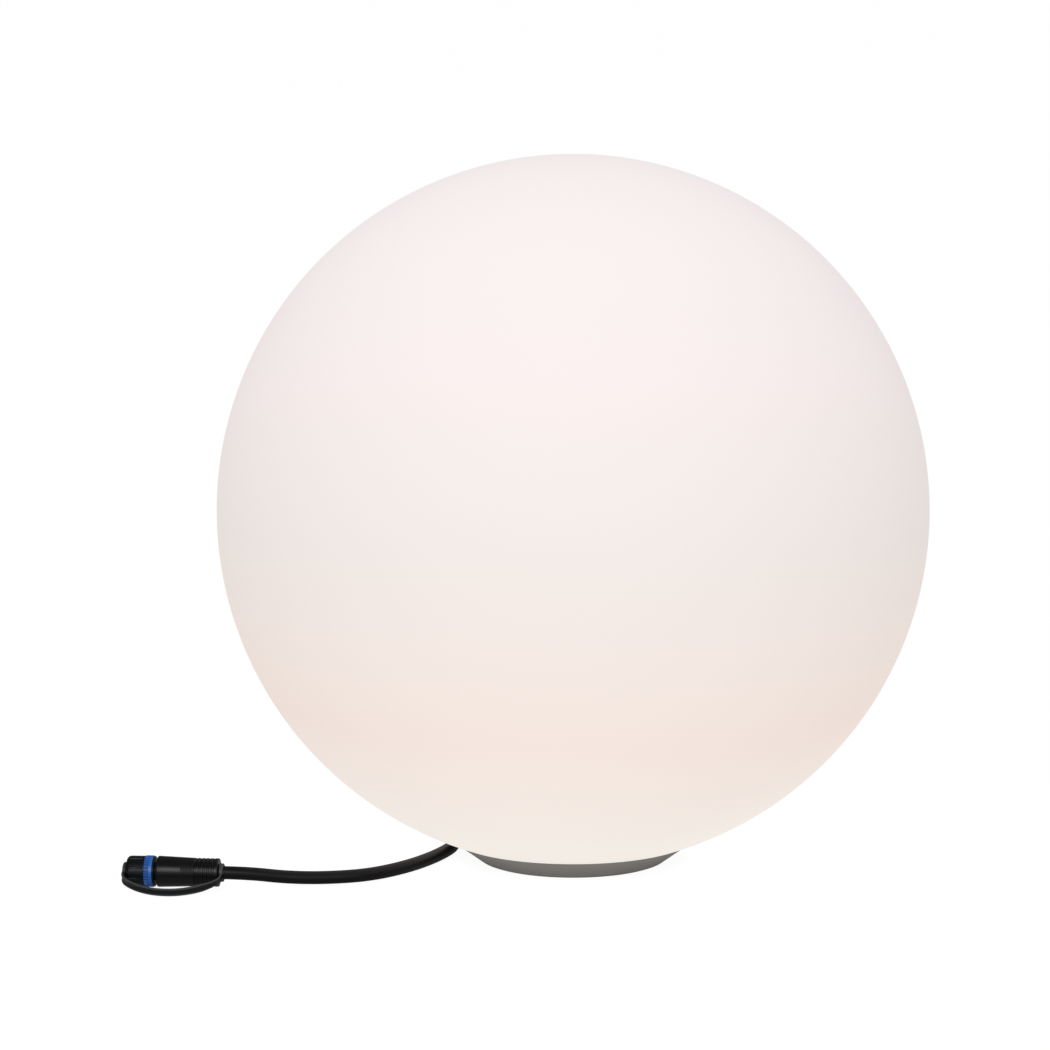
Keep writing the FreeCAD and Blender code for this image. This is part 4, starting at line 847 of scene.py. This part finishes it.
def make_plug_insert():
    corners = [
        (0, INSERT_BACK), (NECK_RADIUS, INSERT_BACK),
        (NECK_RADIUS, CLIP_BACK), (CLIP_GROOVE, CLIP_BACK),
        (CLIP_GROOVE, CLIP_FRONT), (NECK_RADIUS, CLIP_FRONT),
        (NECK_RADIUS, NECK_END, 0.15), (SLEEVE_RADIUS, NECK_END),
        (SLEEVE_RADIUS, SEAL_BACK, 0.1), (SEAL_GROOVE, SEAL_BACK),
        (SEAL_GROOVE, SEAL_FRONT), (SLEEVE_RADIUS, SEAL_FRONT, 0.1),
        (SLEEVE_RADIUS, SLEEVE_END, 0.35), (SLEEVE_BORE, SLEEVE_END, 0.25),
        (SLEEVE_BORE, INSERT_FLOOR), (0, INSERT_FLOOR),
    ]
    form = spun(rounded(corners), 64)
    return piece("insert", "plug_insert", form, "plug_insert", place=PLUG_PLACE)


plug_insert = make_plug_insert()

# %% Contacts, seal and clip
PIN_RADIUS, PIN_OFFSET, PIN_BACK, PIN_TIP = 0.6, 1.6, 37.5, 46.5
SEAL_RADIUS, SEAL_THICK = 4.75, 0.65
CLIP_INNER, CLIP_OUTER, CLIP_HALF_GAP = 4.3, 5.9, 2.5


def make_plug_pins():
    pins = []
    for side in (-1, 1):
        pin = spun(rounded([(0, PIN_BACK), (PIN_RADIUS, PIN_BACK),
                            (PIN_RADIUS, PIN_TIP, 0.45), (0, PIN_TIP)]), 24)
        pins.append(moved(pin, x=PIN_OFFSET * side))
    return piece("contacts", "plug_pins", joined(*pins), "contact_brass", place=PLUG_PLACE)


def make_plug_seal():
    section = arc((SEAL_RADIUS, (SEAL_BACK + SEAL_FRONT) / 2), SEAL_THICK, 0, 345, 23)
    return piece("seal_ring", "plug_seal", spun(section, 64), "silicone", place=PLUG_PLACE)


def make_nut_clip():
    section = rounded([(CLIP_INNER, CLIP_BACK, 0.1), (CLIP_OUTER, CLIP_BACK, 0.1),
                       (CLIP_OUTER, CLIP_FRONT, 0.1), (CLIP_INNER, CLIP_FRONT, 0.1)])
    opening = 2 * math.degrees(math.asin(2 * CLIP_HALF_GAP / (CLIP_INNER + CLIP_OUTER)))
    place = PLUG_PLACE @ Matrix.Rotation(math.pi, 4, "Z")
    return piece("clip", "nut_clip", spun(section, 60, opening), "clip_steel", place=place)


plug_pins = make_plug_pins()
plug_seal = make_plug_seal()
nut_clip = make_nut_clip()

# %% [markdown]
# ## Screw ring
# The screw ring is black plastic with nine long grooves for the fingers, and it is hollow over
# the sleeve. It is turned round its thick back wall, and the grooves are pressed in afterwards
# with soft edges. It rides on its own body, because it turns.

# %% Screw ring
NUT_GROOVES, NUT_GROOVE_TURN = 9, -15.5
NUT_RADIUS, NUT_BORE, NUT_HUB = 8.4, 6.6, 5.2
NUT_GROOVE_DEPTH, NUT_GROOVE_WIDTH = 0.55, 1.1
NUT_GROOVE_LENGTH, NUT_GROOVE_MIDDLE = 8.1, 46.0


def groove_depth(angle, height, radius):
    """Grooves in the ring's outside, in front of the blue band."""
    if radius <= 7.0 or height <= 41.3:
        return 0
    step = 360 / NUT_GROOVES
    off = (angle - NUT_GROOVE_TURN + step / 2) % step - step / 2
    across = trench(abs(math.radians(off)) * NUT_RADIUS, NUT_GROOVE_WIDTH, 0.4)
    along = trench(abs(height - NUT_GROOVE_MIDDLE), NUT_GROOVE_LENGTH, 0.5)
    return NUT_GROOVE_DEPTH * across * along


def make_coupling_nut():
    stations = [41.5, 41.8, 42.1, 42.4, 44.0, 46.0, 48.0]
    corners = [(NUT_HUB, 35.4, 0.2), (NUT_RADIUS, 35.4, 0.6), (NUT_RADIUS, 36.35, 0.1),
               (7.5, 36.35), (7.5, 41.05), (NUT_RADIUS, 41.05, 0.15)]
    corners += [(NUT_RADIUS, station) for station in stations]
    corners += [(8.35, 49.6, 0.5), (7.9, 50.5, 0.5), (7.2, 51.1, 0.3), (NUT_BORE, 51.1, 0.25),
                (NUT_BORE, 37.2), (NUT_HUB, 37.2)]
    turn = Matrix.Rotation(math.radians(NUT_GROOVE_TURN - 90), 4, "Z")
    form = spun(rounded(corners), NUT_GROOVES * 40)
    bmesh.ops.transform(form, matrix=turn, verts=form.verts)
    form = pressed(form, groove_depth)
    return piece("screw_ring", "coupling_nut", form, "nut_plastic", "nut", PLUG_PLACE)


coupling_nut = make_coupling_nut()

# %% [markdown]
# ## Blue band
# A bright blue band sits in the screw ring and turns with it. Its front half has teeth, and its
# finish paints shade into the gaps between them and a highlight on their tops: it finds how far
# a point lies from the plug's axis and is darker in the gaps than on top of the teeth.

# %% Blue plastic
BAND_RADIUS, BAND_BORE = 8.7, 7.55
TOOTH_FOOT, TOOTH_RISE = 8.25, 2.6


def band_finish():
    """Blue plastic with a painted highlight on top of the teeth and painted shade in the gaps between them."""
    finish = Finish("ring_blue", (0.014, 0.11, 0.44), 0.34, Specular_IOR_Level=0.5)
    along, length = finish.along(PLUG_AXIS, PLUG_BACK), finish.distance(PLUG_BACK)
    radius = (length * length - along * along).root()
    top = ((radius / MM - TOOTH_FOOT) * TOOTH_RISE).clamped()
    grain = finish.noise(1800, 3.0)
    lit = finish.mix(grain, (0.016, 0.105, 0.41), (0.028, 0.150, 0.52))
    # painted shade in the gaps between the teeth, painted highlight on their tops
    finish.set("Base Color", finish.mix(top, (0.009, 0.072, 0.31), lit))
    finish.set("Roughness", 0.60 - top * 0.30 + grain * 0.08)
    finish.bump(grain, 0.04 * MM, 0.5)
    return finish.material


FINISHES["ring_blue"] = band_finish()


# %% Blue band
BAND_TEETH, TOOTH_DEPTH, TOOTH_GAP = 32, 0.5, 1.1


def tooth_depth(angle, height, radius):
    """Gaps between teeth, in the outside of the band's front half."""
    if radius <= 8.2 or height <= 38.2:
        return 0
    step = 360 / BAND_TEETH
    off = abs((angle + step / 2) % step - step / 2)
    return TOOTH_DEPTH * trench(math.radians(off) * BAND_RADIUS, TOOTH_GAP, 0.3)


def make_colour_ring():
    corners = [(BAND_BORE, 36.4), (BAND_RADIUS, 36.4, 0.35), (BAND_RADIUS, 38.1),
               (BAND_RADIUS, 38.3), (BAND_RADIUS, 40.4), (BAND_RADIUS, 41.0, 0.3),
               (BAND_BORE, 41.0)]
    form = pressed(spun(rounded(corners), BAND_TEETH * 12), tooth_depth)
    return piece("blue_band", "colour_ring", form, "ring_blue", "nut", PLUG_PLACE)


colour_ring = make_colour_ring()

# %% [markdown]
# ## Strap rubber
# The cap's strap leans down from the plug until its edge nearly lies on the ground. It has a
# bead along each edge and a thin web between them, and its finish paints a highlight on the
# beads and shade on the web. So its finish changes with the distance across the strap.

# %% Strap rubber
STRAP_WIDTH, STRAP_THICK, STRAP_REACH = 4.4, 1.2, 24.0
STRAP_GROUND_GAP = 0.25
BEAD_FOOT, BEAD_RISE = 1.5, 1.2


def strap_tilt():
    """How far the strap leans down from level, so that its far edge just clears the ground."""
    reach, half_width = STRAP_REACH + STRAP_THICK / 2, STRAP_WIDTH / 2
    rise = PLUG_BACK.z / MM - STRAP_GROUND_GAP
    return math.asin(rise / math.hypot(reach, half_width)) - math.atan2(half_width, reach)


STRAP_PLACE = PLUG_PLACE @ Matrix.Rotation(-strap_tilt(), 4, "Z")


def strap_finish():
    """Dull rubber with a painted highlight on its two edge beads and painted shade on the web between them."""
    finish = Finish("strap_rubber", (0.018, 0.020, 0.022), 0.40, Specular_IOR_Level=0.28)
    across = finish.along(STRAP_PLACE.to_3x3() @ Vector((0, 1, 0)), PLUG_BACK) / MM
    bead = ((across * across - BEAD_FOOT) * BEAD_RISE).clamped()
    grain = finish.noise(1800, 3.0)
    web = finish.mix(grain, (0.003, 0.003, 0.004), (0.006, 0.007, 0.008))
    bead_highlight = finish.mix(grain, (0.040, 0.043, 0.046), (0.068, 0.073, 0.078))
    # painted highlight on the edge beads, painted shade on the web between them
    finish.set("Base Color", finish.mix(bead, web, bead_highlight))
    finish.set("Roughness", 0.36 + grain * 0.12)
    finish.bump(grain, 0.05 * MM, 0.6)
    return finish.material


FINISHES["strap_rubber"] = strap_finish()
print("strap leans, degrees:", round(math.degrees(strap_tilt()), 2))

# %% [markdown]
# ## Cap and collar
# A rubber cap is pushed over the sleeve and keeps dirt out. It is turned, with its stem and its
# round head, and it rides on its own body, because it pulls off. The collar is a ring on the
# lead that stays where it is.


# %% Cap and collar
def make_sealing_cap():
    corners = [
        (4.75, 44.9, 0.15), (6.2, 44.9, 0.25), (6.2, 50.7, 0.6), (2.6, 50.7, 0.3),
        (2.6, 51.9, 0.4), (4.8, 51.9, 0.45), (4.75, 53.1, 0.5), (3.7, 53.75, 0.6), (0, 53.9),
        (0, 49.1), (4.75, 49.1),
    ]
    form = spun_ring([tuple(point) for point in rounded(corners)], 72)
    return piece("cap", "sealing_cap", form, "cap_rubber", "cap", PLUG_PLACE)


def make_cap_collar():
    corners = [(3.72, -2.6, 0.2), (5.1, -2.6, 0.7), (5.1, -0.4, 0.5), (3.72, -0.4, 0.2)]
    form = spun(rounded(corners), 64)
    return piece("collar", "cap_collar", form, "strap_rubber", place=PLUG_PLACE)


sealing_cap = make_sealing_cap()
cap_collar = make_cap_collar()

# %% [markdown]
# ## Strap
# The strap leaves the head of the cap, lies forward in a half oval and ends at the collar on the
# lead. A curve with a profile could sweep it, but would twist it, so its section is set up at
# each point of the middle line and one section is bridged to the next. Its ends lie inside the
# head and the collar. It rides on no body, and its place is baked into its points.

# %% Strap's middle line
STRAP_LEG, STRAP_CORNER = 5.65, 11.0
STRAP_REAR, STRAP_FRONT = -1.5, 52.9
STRAP_ROOT, STRAP_TIP, STRAP_SUNK = 5.15, 4.85, 0.3


def arc_stations(centre, radius, first, last, steps):
    """(distance from the axis, place along it, outward angle) at points of an arc."""
    points = arc(centre, radius, first, last, steps)
    angles = [first + (last - first) * step / steps for step in range(steps + 1)]
    return [(*point, angle) for point, angle in zip(points, angles)]


def strap_line():
    """The strap's middle line: two legs, two tight corner arcs and one wide arc."""
    middle = (STRAP_REAR + STRAP_FRONT) / 2
    half_span = (STRAP_FRONT - STRAP_REAR) / 2
    depth = STRAP_REACH - STRAP_LEG
    share = (depth - STRAP_CORNER) / (half_span - STRAP_CORNER)
    swing = math.degrees(2 * math.atan(share))
    wide = STRAP_CORNER + (half_span - STRAP_CORNER) / math.sin(math.radians(swing))
    rear = arc_stations((STRAP_LEG, STRAP_REAR + STRAP_CORNER), STRAP_CORNER, -90, -swing, 12)
    long = arc_stations((STRAP_REACH - wide, middle), wide, -swing, swing, 40)
    front = arc_stations((STRAP_LEG, STRAP_FRONT - STRAP_CORNER), STRAP_CORNER, swing, 90, 12)
    return [(STRAP_ROOT - STRAP_SUNK, STRAP_REAR, -90), *rear, *long[1:-1], *front,
            (STRAP_TIP - STRAP_SUNK, STRAP_FRONT, 90)]


# %% Strap
STRAP_WEB, STRAP_BEAD, BEAD_SLOPE = 0.32, 0.80, 0.15
SLIM_LENGTH, SLIM_SHARE = 8.0, 0.32


def strap_section():
    """The strap's section as (across, outwards) points: a thin web between two beads."""
    half, thick, inner = STRAP_WIDTH / 2, STRAP_THICK / 2, STRAP_WIDTH / 2 - STRAP_BEAD
    upper = [(half, thick, 0.3), (inner, thick, 0.2), (inner - BEAD_SLOPE, STRAP_WEB, 0.1),
             (BEAD_SLOPE - inner, STRAP_WEB, 0.1), (-inner, thick, 0.2), (-half, thick, 0.3)]
    lower = [(across, -rise, cut) for across, rise, cut in reversed(upper)]
    return rounded(lower + upper)


def make_cap_strap():
    form = bmesh.new()
    loops = []
    for distance, along, angle in strap_line():
        slim = 1 - SLIM_SHARE * max(0, 1 - (along - STRAP_REAR) / SLIM_LENGTH)
        out = Vector((math.cos(math.radians(angle)), 0, math.sin(math.radians(angle))))
        centre = Vector((distance, 0, along))
        loop = [form.verts.new((centre + Vector((0, across * slim, 0)) + out * rise) * MM)
                for across, rise in strap_section()]
        loops.append([form.edges.new(pair) for pair in zip(loop, loop[1:] + loop[:1])])
    for near, far in zip(loops, loops[1:]):
        bmesh.ops.bridge_loops(form, edges=near + far)
    bmesh.ops.holes_fill(form, edges=form.edges)
    bmesh.ops.recalc_face_normals(form, faces=form.faces)
    strap = piece("strap", "cap_strap", form, "strap_rubber", body=None, place=STRAP_PLACE)
    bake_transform(strap)
    return strap


cap_strap = make_cap_strap()

# %% [markdown]

# %% [markdown]
# ## Wires inside
# The lead's two cores run from the gland up to the terminal on the driver. They are thin cords
# of their own, made in the same way as the lead.

# %% Cores
CORE_DIAMETER, CORE_OFFSET = 2.2 * MM, 1.35
CORE_TURN, TERMINAL_FACE, TERMINAL_HEIGHT = -29.3, -19.3, 40.0

cores = make_lead("cores", [
    [(x, *GLAND_BACK[1:]), (x, CORE_TURN, GLAND_BACK[2]), (x, CORE_TURN, TERMINAL_HEIGHT),
     (x, TERMINAL_FACE, TERMINAL_HEIGHT)] for x in (-CORE_OFFSET, CORE_OFFSET)
], CORE_DIAMETER, "core_insulation")
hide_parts("supply_cores")

# %% [markdown]
# ## Pieces that keep their CAD mesh
# The remaining pieces, the foot and all that is inside, are exact already. Their meshes could
# be copied and rounded by hand, but modifiers do it without touching them: the loose triangles
# are welded and joined to faces, and each edge gets a fine bevel, because a moulded or machined
# edge always catches a little light.


# %% CAD pieces
EDGE_BEVEL, WELD_REACH = 0.25 * MM, 1e-6


def soften_edges(obj):
    """Join the mesh's faces, then round its edges slightly, without touching the mesh itself."""
    weld = obj.modifiers.new("weld", "WELD")
    weld.merge_threshold = WELD_REACH
    flatten = obj.modifiers.new("flatten", "DECIMATE")
    flatten.decimate_type = "DISSOLVE"
    flatten.angle_limit = math.radians(0.5)
    bevel = obj.modifiers.new("bevel", "BEVEL")
    bevel.width = EDGE_BEVEL
    bevel.segments = 2
    bevel.limit_method = "ANGLE"
    bevel.angle_limit = CREASE
    obj.modifiers.new("normals", "WEIGHTED_NORMAL")


kept = {node: obj for node, obj in frame["nodes"].items() if not obj.hide_render}
for node, obj in kept.items():
    obj.data.materials.clear()
    obj.data.materials.append(FINISHES[NODE_SLOT[node]])
    soften_edges(obj)
print(len(kept), "CAD pieces kept:", ", ".join(kept))
